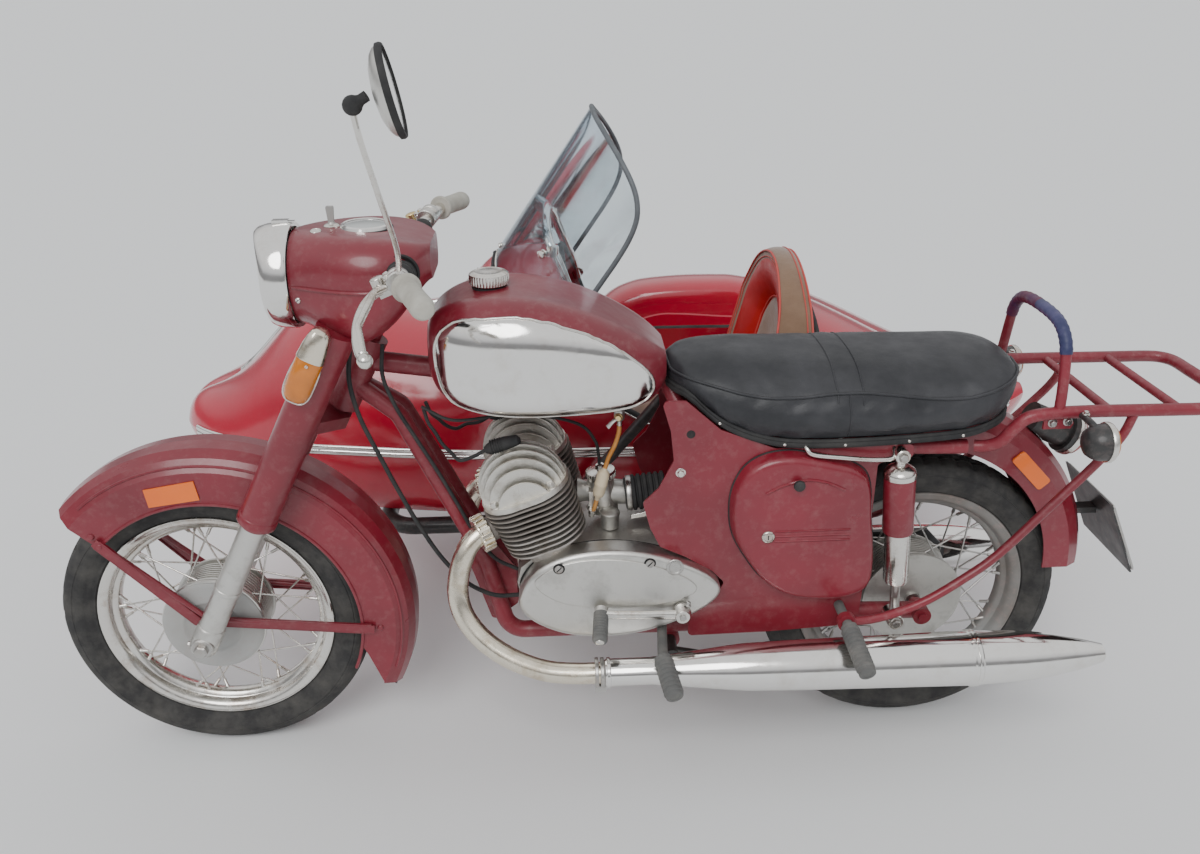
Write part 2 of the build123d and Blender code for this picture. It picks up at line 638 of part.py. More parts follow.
# Cylinder heads: domed stacks of upright fins, slotted fore and aft.
head_fins = [
    (-60.0, 46.0, 34.0), (-47.0, 60.0, 54.0), (-34.0, 69.0, 68.0), (-21.0, 75.0, 78.0), (-8.0, 78.0, 84.0),
    (5.0, 78.0, 84.0), (18.0, 75.0, 78.0), (31.0, 69.0, 68.0), (44.0, 60.0, 54.0), (57.0, 46.0, 34.0),
]
with BuildPart() as cylinder_heads:
    for side in (-1, 1):
        flat = barrel_plane(side).offset(head_base)
        with BuildSketch(flat):
            RectangleRounded(138.0, 160.0, 62.0)
        extrude(amount=10.0)
        foot = flat.origin
        for dy, half, tall in head_fins:
            spot = foot + Vector(0, dy + 3.2, 0) + up_cylinder * 9.0
            with BuildSketch(Plane(origin=spot, x_dir=(math.cos(lean), 0, math.sin(lean)), z_dir=(0, -1, 0))):
                with BuildLine():
                    ThreePointArc((-half, 0), (0, tall), (half, 0))
                    Line((half, 0), (-half, 0))
                make_face()
            extrude(amount=3.6)
        with BuildSketch(flat):
            Circle(30.0)
        extrude(amount=62.0)
cylinder_heads.part.label = "cylinder_heads"
export_step(cylinder_heads.part, "parts/cylinder_heads.step")

with BuildPart() as carburettor:
    rod((-640.0, 0, 520.0), (-540.0, 0, 512.0), 24.0)
    rod((-588.0, 0, 470.0), (-600.0, 0, 590.0), 25.0)
    block(-614.0, -560.0, -24.0, 24.0, 462.3, 482.0)
    rod((-545.0, 0, 512.0), (-470.0, 0, 520.0), 34.0)
carburettor.part.label = "carburettor"
export_step(carburettor.part, "parts/carburettor.step")

# Exhausts: bent pipes into long tapered silencers.
silencer_y = 195.0
silencer_z = 253.0
silencer_rows = [
    (0.0, 0.0), (21.0, 0.0), (24.0, 4.0), (24.0, 82.0), (33.0, 165.0), (42.0, 250.0), (46.0, 420.0),
    (49.0, 655.0), (51.0, 659.0), (51.0, 668.0), (48.5, 672.0), (46.0, 745.0), (38.0, 815.0),
    (28.0, 868.0), (18.0, 905.0), (14.0, 908.0), (13.0, 880.0), (0.0, 880.0),
]


def exhaust(side):
    tube([along_port(fit_gap, side), (-855.0, side * 116.0, 478.0), (-852.0, side * 165.0, 325.0),
          (-750.0, side * 193.0, 258.0), (-590.0, side * silencer_y, silencer_z)], 19.0, 88.0)
    spindle(along_port(fit_gap, side), along_port(30.0, side), [
        (0.0, 0.0), (27.0, 0.0), (28.5, 2.0), (28.5, 21.0), (27.0, 23.0), (0.0, 23.0)])
    spindle((-600.0, side * silencer_y, silencer_z), (300.0, side * silencer_y, silencer_z), silencer_rows)


with BuildPart() as exhausts:
    exhaust(-1)
    exhaust(1)
exhausts.part.label = "exhausts"
export_step(exhausts.part, "parts/exhausts.step")

with BuildPart() as footpegs:
    for side in (-1, 1):
        rod((-489.0, side * 103.0, 290.0), (-501.0, side * 238.0, 308.0), 9.0)
        rod((-501.0, side * 232.0, 308.0), (-487.0, side * 305.0, 282.0), 15.0)
        rod((-165.0, side * 122.3, 330.0), (-165.0, side * 196.0, 330.0), 9.0)
        rod((-164.5, side * 191.6, 328.8), (-154.0, side * 286.0, 297.0), 14.5)
    add(crankcase.part, mode=Mode.SUBTRACT)
footpegs.part.label = "footpegs"
export_step(footpegs.part, "parts/footpegs.step")

# Rack with its hoop and struts, tail lamp, plate and indicators.
rack_z = 704.0
rack_end = 520.0
rack_tube = 12.0      # radius of the rack's end tube
with BuildPart() as rear_rack:
    for side in (-1, 1):
        tube([(54.5, side * 100.0, 634.0), (115.0, side * 122.0, 640.0), (165.0, side * 128.0, rack_z),
              (rack_end - 11.0, side * 128.0, rack_z)], 11.0, 24.0)
        rod((-165.0, side * 177.0, 330.0), (300.0, side * 128.0, rack_z), 8.0)
        y0, y1 = sorted((side * 168.0, side * 186.0))
        disc(-165.0, 330.0, 16.0, y0, y1)
        disc(-165.0, 330.0, 9.0 + fit_gap, y0, y1, Mode.SUBTRACT)
    tube([(178.0, -128.0, rack_z), (170.0, -112.0, 856.0), (170.0, 112.0, 856.0), (178.0, 128.0, rack_z)], 9.0, 45.0)
    rod((rack_end - rack_tube, -140.0, rack_z), (rack_end - rack_tube, 140.0, rack_z), rack_tube)
    rod((270.0, -128.0, rack_z), (270.0, 128.0, rack_z), 8.0)
    rod((390.0, -128.0, rack_z), (390.0, 128.0, rack_z), 8.0)
rear_rack.part.label = "rear_rack"
export_step(rear_rack.part, "parts/rear_rack.step")

with BuildPart() as tail_lamp:
    rod((196.0, 0.0, 640.0), (262.0, 0.0, 610.0), 30.0)
    rod((262.0, 0.0, 610.0), (276.0, 0.0, 603.6), 38.0)
    turned(rear_guard_x, 0, rear_guard_z, [(200.0, -60.0), (rear_guard_radius + fit_gap, -60.0),
           (rear_guard_radius + fit_gap, 60.0), (200.0, 60.0)], 0.0, 165.0, Mode.SUBTRACT)
tail_lamp.part.label = "tail_lamp"
export_step(tail_lamp.part, "parts/tail_lamp.step")

with BuildPart() as number_plate:
    plate([(330, 500), (334, 500), (398, 354), (394, 354)], -90.0, 90.0)
    block(300.0, 352.0, -12.0, 12.0, 440.0, 452.0)
    turned(rear_guard_x, 0, rear_guard_z, [(200.0, -60.0), (rear_guard_radius + fit_gap, -60.0),
           (rear_guard_radius + fit_gap, 60.0), (200.0, 60.0)], 0.0, 60.0, Mode.SUBTRACT)
number_plate.part.label = "number_plate"
export_step(number_plate.part, "parts/number_plate.step")

with BuildPart() as rear_indicators:
    for side in (-1, 1):
        rod((215.0, side * 139.3, 704.0), (215.0, side * 190.0, 704.0), 6.0)
        rod((206.0, side * 188.0, 672.0), (250.0, side * 188.0, 672.0), 32.0)
rear_indicators.part.label = "rear_indicators"
export_step(rear_indicators.part, "parts/rear_indicators.step")

# Centre stand, folded under the frame.
with BuildPart() as centre_stand:
    rod((stand_x, -118.0, stand_z), (stand_x, 118.0, stand_z), 12.0)
    for side in (-1, 1):
        rod((stand_x, side * 104.0, stand_z), (stand_x + 196.0, side * 112.0, stand_z - 38.0), 10.0)
        rod((stand_x + 190.0, side * 96.0, stand_z - 37.0), (stand_x + 190.0, side * 128.0, stand_z - 37.0), 13.0)
centre_stand.part.label = "centre_stand"
export_step(centre_stand.part, "parts/centre_stand.step")

# Sidecar: tubular frame, hollow tub, arched deck with the cockpit opening.
belt_z = 430.0
hull_wall = 6.0
deck_rows = [
    (-1552.0, 46.0, 446.0), (-1500.0, 118.0, 498.0), (-1420.0, 172.0, 536.0), (-1330.0, 206.0, 622.0),
    (-1120.0, 250.0, 712.0), (-823.0, 290.0, 786.0), (-500.0, 300.0, 790.0), (-100.0, 286.0, 690.0),
    (175.0, 214.0, 553.0), (390.0, 112.0, 472.0), (478.0, 40.0, 444.0),
]
tub_rows = [
    (-1552.0, 46.0, 408.0), (-1500.0, 118.0, 362.0), (-1420.0, 172.0, 318.0), (-1330.0, 206.0, 286.0),
    (-1120.0, 250.0, 252.0), (-823.0, 290.0, 240.0), (-500.0, 300.0, 240.0), (-100.0, 286.0, 242.0),
    (175.0, 214.0, 268.0), (390.0, 112.0, 336.0), (478.0, 40.0, 400.0),
]


def hull_plane(x):
    return Plane(origin=at(x, hull_y, 0), x_dir=(0, 1, 0), z_dir=(1, 0, 0))


def deck_form(rows, wall, mode=Mode.ADD):
    faces = []
    for x, half, high in rows:
        w = half - wall
        h = high - wall
        rise = belt_z + 0.64 * (h - belt_z)
        with BuildSketch(hull_plane(x)) as face:
            with BuildLine():
                ThreePointArc((-w, belt_z), (-0.79 * w, rise), (0, h))
                ThreePointArc((0, h), (0.79 * w, rise), (w, belt_z))
                Line((w, belt_z), (-w, belt_z))
            make_face()
        faces.append(face.sketch.faces()[0])
    loft(faces, mode=mode)


def tub_form(rows, wall, mode=Mode.ADD):
    faces = []
    for x, half, low in rows:
        w = half - wall
        floor = low + wall
        mid = 0.5 * (belt_z + floor)
        with BuildSketch(hull_plane(x)) as face:
            with BuildLine():
                Line((-w, belt_z), (w, belt_z))
                ThreePointArc((w, belt_z), (0.95 * w, mid), (0.74 * w, floor))
                Line((0.74 * w, floor), (-0.74 * w, floor))
                ThreePointArc((-0.74 * w, floor), (-0.95 * w, mid), (-w, belt_z))
            make_face()
        faces.append(face.sketch.faces()[0])
    loft(faces, mode=mode)


with BuildPart() as tub_hollow:
    tub_form(tub_rows, hull_wall)
    block(-1560.0, -1546.0, hull_y - 100, hull_y + 100, 380.0, 460.0, Mode.SUBTRACT)
    block(472.0, 486.0, hull_y - 100, hull_y + 100, 380.0, 460.0, Mode.SUBTRACT)

hinge_x = -252.0      # backrest's hinge
hinge_z = 432.0
hinge_radius = 7.0
with BuildPart() as sidecar_hull:
    tub_form(tub_rows, 0.0)
    add(tub_hollow.part, mode=Mode.SUBTRACT)
    for side in (-1, 1):
        y0, y1 = sorted((hull_y + side * 224.0, hull_y + side * 230.0))
        plate([(hinge_x - 16, hinge_z), (hinge_x + 16, hinge_z), (hinge_x + 24, 248), (hinge_x - 24, 248)], y0, y1)
        disc(hinge_x, hinge_z, 16.0, y0, y1)
        disc(hinge_x, hinge_z, hinge_radius + axle_gap, y0, y1, Mode.SUBTRACT)
sidecar_hull.part.label = "sidecar_hull"
export_step(sidecar_hull.part, "parts/sidecar_hull.step")

with BuildPart() as deck_whole:
    deck_form(deck_rows, 0.0)

with BuildPart() as deck_hollow:
    deck_form(deck_rows, hull_wall)
    block(-1560.0, -1546.0, hull_y - 100, hull_y + 100, 380.0, 460.0, Mode.SUBTRACT)
    block(472.0, 486.0, hull_y - 100, hull_y + 100, 380.0, 460.0, Mode.SUBTRACT)

opening = [
    (-700, 900), (-650, 800), (-600, 640), (-540, 540), (-480, 506), (-220, 506), (-112, 512),
    (-86, 560), (-82, 900),
]
with BuildPart() as sidecar_deck:
    add(deck_whole.part)
    add(deck_hollow.part, mode=Mode.SUBTRACT)
    plate(opening, hull_y - 340.0, hull_y + 340.0, Mode.SUBTRACT)
sidecar_deck.part.label = "sidecar_deck"
export_step(sidecar_deck.part, "parts/sidecar_deck.step")

screen_radius = 266.0
screen_thick = 4.0
screen_low = 560.0
screen_x = -973.0     # the sheet's foremost point at the height screen_low
screen_turn = 77.0    # degrees that the sheet wraps to each side
screen_way = Vector(0.575, 0, 0.818)
with BuildPart() as windscreen:
    with BuildSketch(Plane(origin=at(screen_x + screen_radius, hull_y, screen_low))):
        with BuildLine():
            CenterArc((0, 0), screen_radius, 180.0 - screen_turn, 2 * screen_turn)
            CenterArc((0, 0), screen_radius - screen_thick, 180.0 - screen_turn, 2 * screen_turn)
            for turn in (180.0 - screen_turn, 180.0 + screen_turn):
                c = math.cos(math.radians(turn))
                s = math.sin(math.radians(turn))
                Line(((screen_radius - screen_thick) * c, (screen_radius - screen_thick) * s),
                     (screen_radius * c, screen_radius * s))
        make_face()
    extrude(amount=700.0, dir=screen_way)
    plate([(-640, 1230), (-579, 1121), (-540, 1060), (-496, 960), (-470, 850), (-300, 850), (-300, 1260), (-640, 1260)],
          hull_y - 340.0, hull_y + 340.0, Mode.SUBTRACT)
    add(deck_whole.part, mode=Mode.SUBTRACT)
windscreen.part.label = "windscreen"
export_step(windscreen.part, "parts/windscreen.step")

with BuildPart() as grab_rail:
    tube([(-656.0, hull_y - 204.0, 680.0), (-642.0, hull_y - 188.0, 872.0), (-642.0, hull_y + 188.0, 872.0),
          (-656.0, hull_y + 204.0, 680.0)], 11.0, 50.0)
    add(deck_whole.part, mode=Mode.SUBTRACT)
grab_rail.part.label = "grab_rail"
export_step(grab_rail.part, "parts/grab_rail.step")

with BuildPart() as sidecar_seat:
    block(-500.0, -290.0, hull_y - 205.0, hull_y + 205.0, 244.0, 380.0)
    fillet(sidecar_seat.edges().group_by(Axis.Z)[-1], 24.0)
    add(sidecar_hull.part, mode=Mode.SUBTRACT)
sidecar_seat.part.label = "sidecar_seat"
export_step(sidecar_seat.part, "parts/sidecar_seat.step")

# Backrest, hinged at its foot so that it folds forward.
back_low = 420.0
with BuildPart() as backrest:
    with BuildSketch(Plane(origin=at(-262.0, hull_y, 0), x_dir=(0, 1, 0), z_dir=(1, 0, 0))):
        with BuildLine():
            Polyline((-217.0, 640.0), (-217.0, back_low), (217.0, back_low), (217.0, 640.0))
            ThreePointArc((217.0, 640.0), (0, 787.0), (-217.0, 640.0))
        make_face()
    extrude(amount=167.0)
    plate([(-270, back_low - 5), (-262, back_low - 5), (-250, 560), (-168, 790), (-270, 790)],
          hull_y - 240.0, hull_y + 240.0, Mode.SUBTRACT)
    rod((hinge_x, hull_y - 234.0, hinge_z), (hinge_x, hull_y + 234.0, hinge_z), hinge_radius)
backrest.part.label = "backrest"
export_step(backrest.part, "parts/backrest.step")

side_guard_x = -200.0
side_guard_z = 275.0
with BuildPart() as sidecar_mudguard:
    turned(side_guard_x, sidecar_wheel_y, side_guard_z, channel(340.0, 78.0, 3.0, 236.0, 0.0), 8.0, 166.0)
sidecar_mudguard.part.label = "sidecar_mudguard"
export_step(sidecar_mudguard.part, "parts/sidecar_mudguard.step")

frame_z = 217.7
with BuildPart() as sidecar_frame:
    tube([(-1080.0, hull_y + 90.0, frame_z), (-1080.0, 420.0, frame_z), (120.0, 420.0, frame_z),
          (120.0, 905.0, frame_z), (-900.0, 905.0, frame_z)], 20.0, 70.0)
    rod((-1080.0, hull_y + 90.0, frame_z), (-900.0, 905.0, frame_z), 20.0)
    for x, y in ((-1080.0, hull_y + 90.0), (-900.0, 905.0)):
        with Locations(at(x, y, frame_z)):
            Sphere(20.0)
    rod((-900.0, 420.0, frame_z), (-900.0, 905.0, frame_z), 20.0)
    rod((sidecar_axle_x, 420.0, frame_z), (sidecar_axle_x, 1010.0, frame_z), 20.0)
    rod((sidecar_axle_x, 1010.0, frame_z), (sidecar_axle_x, 1010.0, axle_z), 18.0)
    rod((sidecar_axle_x, 992.0, axle_z), (sidecar_axle_x, sidecar_wheel_y + 62.0, axle_z), axle_radius)
    rod((sidecar_axle_x, 992.0, axle_z), (sidecar_axle_x, sidecar_wheel_y - 62.0, axle_z), 17.0)
    rod((-890.0, 420.0, frame_z), (-792.0, 84.0, 234.0), 16.0)
    disc(-792.0, 234.0, 22.0, 75.5, 92.0)
    rod((-430.0, 420.0, frame_z), (-360.0, 139.0, 350.0), 14.0)
    disc(-360.0, 350.0, 17.0, 122.3, 146.0)
    rod((-700.0, 404.0, frame_z), (-452.0, 137.0, 660.0), 12.0)
    disc(-452.0, 660.0, 19.0, 122.3, 142.0)
    # pads that carry the tub
    for x, top in ((-900.0, 240.8), (sidecar_axle_x, 239.4)):
        for y in (580.0, 710.0):
            block(x - 8.0, x + 8.0, y - 20.0, y + 20.0, 230.0, top)
    for x0, x1, z in ((-484.0, -484.0, 325.0), (30.0, 82.0, 335.0)):
        rod((x0, 905.0, frame_z), (x1, sidecar_wheel_y - 74.0, z), 9.0)
        block(x1 - 20.0, x1 + 20.0, sidecar_wheel_y - 78.0 - fit_gap, sidecar_wheel_y - 60.0, z - 20.0, z + 20.0,
              Mode.SUBTRACT)
sidecar_frame.part.label = "sidecar_frame"
export_step(sidecar_frame.part, "parts/sidecar_frame.step")

with BuildPart() as chain_case:
    plate([(-330, 345), (-60, 372), (60, 372), (98, 330), (98, 245), (60, 205), (-60, 205), (-330, 255)],
          60.0, 70.5)
    disc(0, axle_z, bore, 50.0, 80.0, Mode.SUBTRACT)
chain_case.part.label = "chain_case"
export_step(chain_case.part, "parts/chain_case.step")

# Control cable and wiring, from under the nacelle to the front of the crankcase.
with BuildPart() as control_cables:
    cable([(-1013.0, -51.0, 829.0), (-1021.0, -58.0, 775.0), (-1010.0, -60.0, 708.0), (-985.0, -60.0, 640.0),
           (-958.0, -58.0, 566.0), (-928.0, -56.0, 492.0), (-893.0, -60.0, 424.0), (-846.0, -72.0, 370.0),
           (-795.0, -76.0, 344.0), (-745.95, -72.0, 344.0)], 4.0)
    cable([(-961.0, -35.0, 829.0), (-968.0, -42.0, 776.0), (-948.0, -46.0, 716.0), (-917.0, -50.0, 658.0),
           (-886.0, -50.0, 596.0), (-856.0, -50.0, 530.0), (-828.0, -54.0, 466.0), (-794.0, -60.0, 414.0),
           (-752.4, -60.0, 392.0)], 3.5)
control_cables.part.label = "control_cables"
export_step(control_cables.part, "parts/control_cables.step")
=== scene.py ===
import math

import bmesh
import bpy
from mathutils import Matrix, Vector
from mathutils.bvhtree import BVHTree


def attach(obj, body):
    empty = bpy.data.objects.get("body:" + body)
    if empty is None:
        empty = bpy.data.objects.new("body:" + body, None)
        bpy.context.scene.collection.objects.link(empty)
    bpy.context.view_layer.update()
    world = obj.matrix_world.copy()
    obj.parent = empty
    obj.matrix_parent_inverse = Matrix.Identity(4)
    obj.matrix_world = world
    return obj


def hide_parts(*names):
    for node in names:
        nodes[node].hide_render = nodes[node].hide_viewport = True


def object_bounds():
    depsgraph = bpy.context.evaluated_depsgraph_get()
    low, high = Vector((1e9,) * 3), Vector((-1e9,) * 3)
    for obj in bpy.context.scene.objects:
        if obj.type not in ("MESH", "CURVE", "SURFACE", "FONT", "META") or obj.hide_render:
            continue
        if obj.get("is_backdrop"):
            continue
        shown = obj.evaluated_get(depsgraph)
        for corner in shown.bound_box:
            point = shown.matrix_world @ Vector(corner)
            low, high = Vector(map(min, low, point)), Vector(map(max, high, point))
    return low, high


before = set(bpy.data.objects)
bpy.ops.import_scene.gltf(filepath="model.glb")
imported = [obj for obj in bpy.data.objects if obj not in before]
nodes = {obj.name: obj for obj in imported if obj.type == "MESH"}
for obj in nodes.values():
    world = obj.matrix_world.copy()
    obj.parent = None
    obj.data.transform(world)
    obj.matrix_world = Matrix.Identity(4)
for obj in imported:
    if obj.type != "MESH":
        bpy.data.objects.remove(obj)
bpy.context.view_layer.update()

# Every place is counted from the rear wheel's contact with the ground, in mm, as in the part's source.
REAR_X, BIKE_Y = 547, -406.2
HULL_Y = 645
FRONT_X, AXLE_Z = -1327, 287
SIDE_X, SIDE_Y = -190, 1120
RAKE = math.radians(27.5)
HEAD_X, HEAD_Z = -977, 841  # on the steering axis
WIDTH_PX, FOCAL_PX = 1200, 1023.43  # the photo's width and the camera's solved focal length
TAG = {-1: "near", 1: "far"}
HULL_OUT = 900  # lines towards the sidecar's skin start this far out
ABOVE = 1500  # higher than the whole outfit
SPOKES, SPOKE_IN, SPOKE_OUT = 36, 89, 190  # in each wheel, and the radii where they begin and end
GROOVE = 4.5  # depth of the tread
SHOCK_TOP_X, SHOCK_FOOT_X, SHOCK_Y, SHOCK_FACE = -85, -62, 132, 146
RACK_Z, RACK_HALF = 704, 128
CUSHION_X = -395


def V(x, y, z):
    return Vector([x, y, z])


def P(x, y, z):
    # a place in Blender's metres
    return V((x + REAR_X) / 1000, (y + BIKE_Y) / 1000, z / 1000)


def down_fork(s, ahead, y):
    # s down the steering axis, ahead of it, and y to the side
    x = HEAD_X - s * math.sin(RAKE) - ahead * math.cos(RAKE)
    return (x, y, HEAD_Z - s * math.cos(RAKE) + ahead * math.sin(RAKE))


# Camera at the photo's place.
cam_data = bpy.data.cameras.new("camera")
cam = bpy.data.objects.new("camera", cam_data)
bpy.context.scene.collection.objects.link(cam)
right = V(0.99878003, -0.04760096, -0.01313763)
down = V(-0.03165323, -0.41294721, -0.91020474)
ahead = V(0.03790147, 0.90951017, -0.41395015)
turn = Matrix((right, -down, -ahead)).transposed().to_4x4()
cam.matrix_world = Matrix.Translation(P(-664.33, -1679.89, 1412)) @ turn
cam_data.sensor_width = 36
cam_data.lens = FOCAL_PX / WIDTH_PX * cam_data.sensor_width
cam_data.clip_end = 200
bpy.context.scene.camera = cam


# Materials.
class Tree:
    def __init__(self, name):
        self.mat = bpy.data.materials.new(name)
        self.mat.use_nodes = True
        self.n = self.mat.node_tree.nodes
        self.l = self.mat.node_tree.links
        self.bsdf = self.n["Principled BSDF"]
        self.co = self.n.new("ShaderNodeTexCoord").outputs["Object"]

    def put(self, socket, value):
        if isinstance(value, bpy.types.NodeSocket):
            self.l.new(value, socket)
        elif isinstance(value, (tuple, list)) and len(value) == 3 and socket.type == "RGBA":
            socket.default_value = (*value, 1)
        else:
            socket.default_value = value

    def set(self, **values):
        for key, value in values.items():
            self.put(self.bsdf.inputs[key.replace("_", " ")], value)

    def node(self, kind, **inputs):
        node = self.n.new("ShaderNode" + kind)
        for key, value in inputs.items():
            self.put(node.inputs[key.replace("_", " ")], value)
        return node

    def noise(self, scale, detail=3, rough=0.55, stretch=None):
        co = self.co
        if stretch:
            co = self.node("Mapping", Scale=stretch, Vector=co).outputs["Vector"]
        return self.node("TexNoise", Scale=scale, Detail=detail, Roughness=rough, Distortion=0,
            Vector=co).outputs["Fac"]

    def span(self, value, a, b, c=0, d=1):
        # from the range a to b onto the range c to d
        return self.node("MapRange", From_Min=a, From_Max=b, To_Min=c, To_Max=d, Value=value).outputs["Result"]

    def math(self, kind, a, b=0, c=0):
        node = self.n.new("ShaderNodeMath")
        node.operation = kind
        for i, v in enumerate((a, b, c)):
            if i < len(node.inputs):
                self.put(node.inputs[i], v)
        return node.outputs[0]

    def mix(self, fac, a, b):
        node = self.n.new("ShaderNodeMix")
        node.data_type = "RGBA"
        for i, value in ((0, fac), (6, a), (7, b)):
            self.put(node.inputs[i], value)
        return node.outputs[2]

    def bump(self, height, strength, distance, normal=None):
        node = self.node("Bump", Strength=strength, Distance=distance, Height=height)
        if normal:
            self.l.new(normal, node.inputs["Normal"])
        return node.outputs["Normal"]

    def axes(self):
        return self.node("SeparateXYZ", Vector=self.co).outputs[:]


def paint(name, colour, worn, rough=0.3, coat=0.5, dust=0.25, chips=0):
    t = Tree(name)
    large = t.noise(5, 4)
    fine = t.noise(60, 6, 0.7)
    base = t.mix(t.span(large, 0.35, 0.7), colour, worn)
    dusty = t.math("MULTIPLY", t.span(fine, 0.5, 0.8), dust)
    base = t.mix(dusty, base, (0.36, 0.25, 0.23))
    if chips:
        mask = t.math("MULTIPLY", t.span(t.noise(95, 8, 0.75), 0.66, 0.69), chips)
        base = t.mix(mask, base, (0.42, 0.36, 0.31))
    t.set(Base_Color=base, Roughness=t.span(t.noise(14, 5), 0.3, 0.75, rough * 0.8, rough * 1.5))
    t.set(Coat_Weight=coat, Coat_Roughness=0.12, Metallic=0, IOR=1.5)
    t.set(Normal=t.bump(t.noise(90, 2), 0.06, 0.002))
    return t.mat


def metal(name, colour, stain, rough=0.2, spread=0.2, stained=0.3, grain=0.05, grain_scale=120):
    t = Tree(name)
    spots = t.span(t.noise(22, 7, 0.7), 0.5, 0.75)
    t.set(Base_Color=t.mix(t.math("MULTIPLY", spots, stained), colour, stain), Metallic=1)
    t.set(Roughness=t.span(t.noise(30, 6, 0.65), 0.35, 0.75, rough, rough + spread))
    t.set(Normal=t.bump(t.noise(grain_scale, 4, 0.6), grain, 0.002))
    return t.mat


def rubber(name, colour, pale, rough=0.75, grain=0.3):
    t = Tree(name)
    t.set(Base_Color=t.mix(t.span(t.noise(18, 6, 0.65), 0.4, 0.75), colour, pale))
    t.set(Roughness=t.span(t.noise(40, 4), 0.3, 0.7, rough - 0.12, rough + 0.1), IOR=1.45)
    t.set(Normal=t.bump(t.noise(400, 3), grain, 0.001))
    return t.mat


RED = paint("dark_red_paint", (0.225, 0.012, 0.026), (0.165, 0.01, 0.02), 0.34, 0.45, 0.18)
RED_CHIPPED = paint("dark_red_paint_chipped", (0.215, 0.012, 0.026), (0.16, 0.01, 0.02), 0.36, 0.4, 0.22, 0.75)
FRAME_RED = paint("frame_red_paint", (0.24, 0.016, 0.03), (0.17, 0.014, 0.024), 0.42, 0.25, 0.3, 0.6)
SIDE_RED = paint("sidecar_red_paint", (0.5, 0.01, 0.034), (0.42, 0.009, 0.03), 0.17, 0.9, 0.05)
CHROME = metal("chrome", (0.83, 0.82, 0.8), (0.42, 0.33, 0.22), 0.06, 0.14, 0.22, 0.03, 60)
CHROME_WORN = metal("chrome_worn", (0.74, 0.72, 0.68), (0.32, 0.2, 0.11), 0.12, 0.26, 0.75, 0.08, 90)
ALLOY = metal("cast_alloy", (0.66, 0.65, 0.62), (0.3, 0.28, 0.25), 0.3, 0.2, 0.5, 0.12, 220)
ALLOY_ROUGH = metal("sand_cast_alloy", (0.52, 0.51, 0.48), (0.2, 0.18, 0.16), 0.42, 0.2, 0.6, 0.3, 320)
IRON = metal("dark_iron", (0.16, 0.16, 0.16), (0.09, 0.07, 0.05), 0.4, 0.25, 0.6, 0.25, 260)
STEEL = metal("bare_steel", (0.5, 0.49, 0.47), (0.25, 0.16, 0.1), 0.25, 0.25, 0.5, 0.1, 200)
RUBBER = rubber("black_rubber", (0.022, 0.022, 0.023), (0.05, 0.048, 0.045))
TYRE = rubber("tyre_rubber", (0.028, 0.027, 0.027), (0.085, 0.08, 0.072), 0.8)
GREY_RUBBER = rubber("grey_rubber", (0.5, 0.48, 0.42), (0.33, 0.3, 0.25), 0.6, 0.2)
PEG_RUBBER = rubber("peg_rubber", (0.12, 0.12, 0.115), (0.22, 0.21, 0.19), 0.7, 0.3)
BLACK = paint("black_paint", (0.02, 0.02, 0.022), (0.035, 0.033, 0.03), 0.4, 0.2, 0.25)
GREY_PAINT = paint("grey_paint", (0.42, 0.42, 0.41), (0.3, 0.29, 0.27), 0.45, 0.15, 0.3, 0.3)
RIM_GREY = paint("rim_grey_paint", (0.27, 0.27, 0.26), (0.13, 0.1, 0.08), 0.45, 0.1, 0.7, 0.9)
BRASS = metal("brass", (0.78, 0.6, 0.3), (0.4, 0.28, 0.12), 0.25, 0.2, 0.4, 0.08, 120)
CREAM_METAL = metal("tarnished_chrome", (0.8, 0.74, 0.62), (0.36, 0.24, 0.12), 0.14, 0.22, 0.7, 0.08, 90)
ORANGE = paint("orange_reflector", (0.95, 0.19, 0.01), (0.8, 0.14, 0.01), 0.35, 0.4, 0.05)
BLUE_TAPE = rubber("blue_tape", (0.03, 0.035, 0.1), (0.1, 0.09, 0.2), 0.4, 0.2)
PURPLE_TAPE = rubber("purple_tape", (0.12, 0.02, 0.045), (0.05, 0.035, 0.12), 0.45, 0.2)
AMBER_HOSE = rubber("amber_hose", (0.5, 0.2, 0.04), (0.62, 0.34, 0.12), 0.35, 0.1)
SCREEN_TRIM = rubber("grey_edge_trim", (0.1, 0.11, 0.12), (0.17, 0.18, 0.19), 0.5, 0.15)
CREAM = rubber("cream_plastic", (0.72, 0.6, 0.42), (0.6, 0.48, 0.32), 0.45, 0.1)
DIAL = paint("dial", (0.5, 0.52, 0.5), (0.4, 0.42, 0.4), 0.2, 0.9, 0.05)
# near-black painted shade for screw slots, holes, the case covers' seams and a keyhole
RECESS_SHADE = paint("painted_recess_shade", (0.008, 0.008, 0.009), (0.015, 0.014, 0.014), 0.6, 0, 0.05)


def lens(name, colour, weight=0.35, rough=0.12):
    t = Tree(name)
    t.set(Base_Color=t.mix(t.span(t.noise(30, 3), 0.3, 0.8), colour, tuple(c * 0.75 for c in colour)))
    t.set(Roughness=rough, Transmission_Weight=weight, IOR=1.49, Coat_Weight=0.6, Coat_Roughness=0.05)
    t.set(Normal=t.bump(t.noise(160, 1), 0.25, 0.0015))
    return t.mat


AMBER = lens("amber_lens", (0.85, 0.26, 0.02), 0.3)
RED_LENS = lens("red_lens", (0.5, 0.01, 0.01), 0.3)
LAMP_GLASS = lens("lamp_glass", (0.85, 0.88, 0.88), 0.6, 0.05)


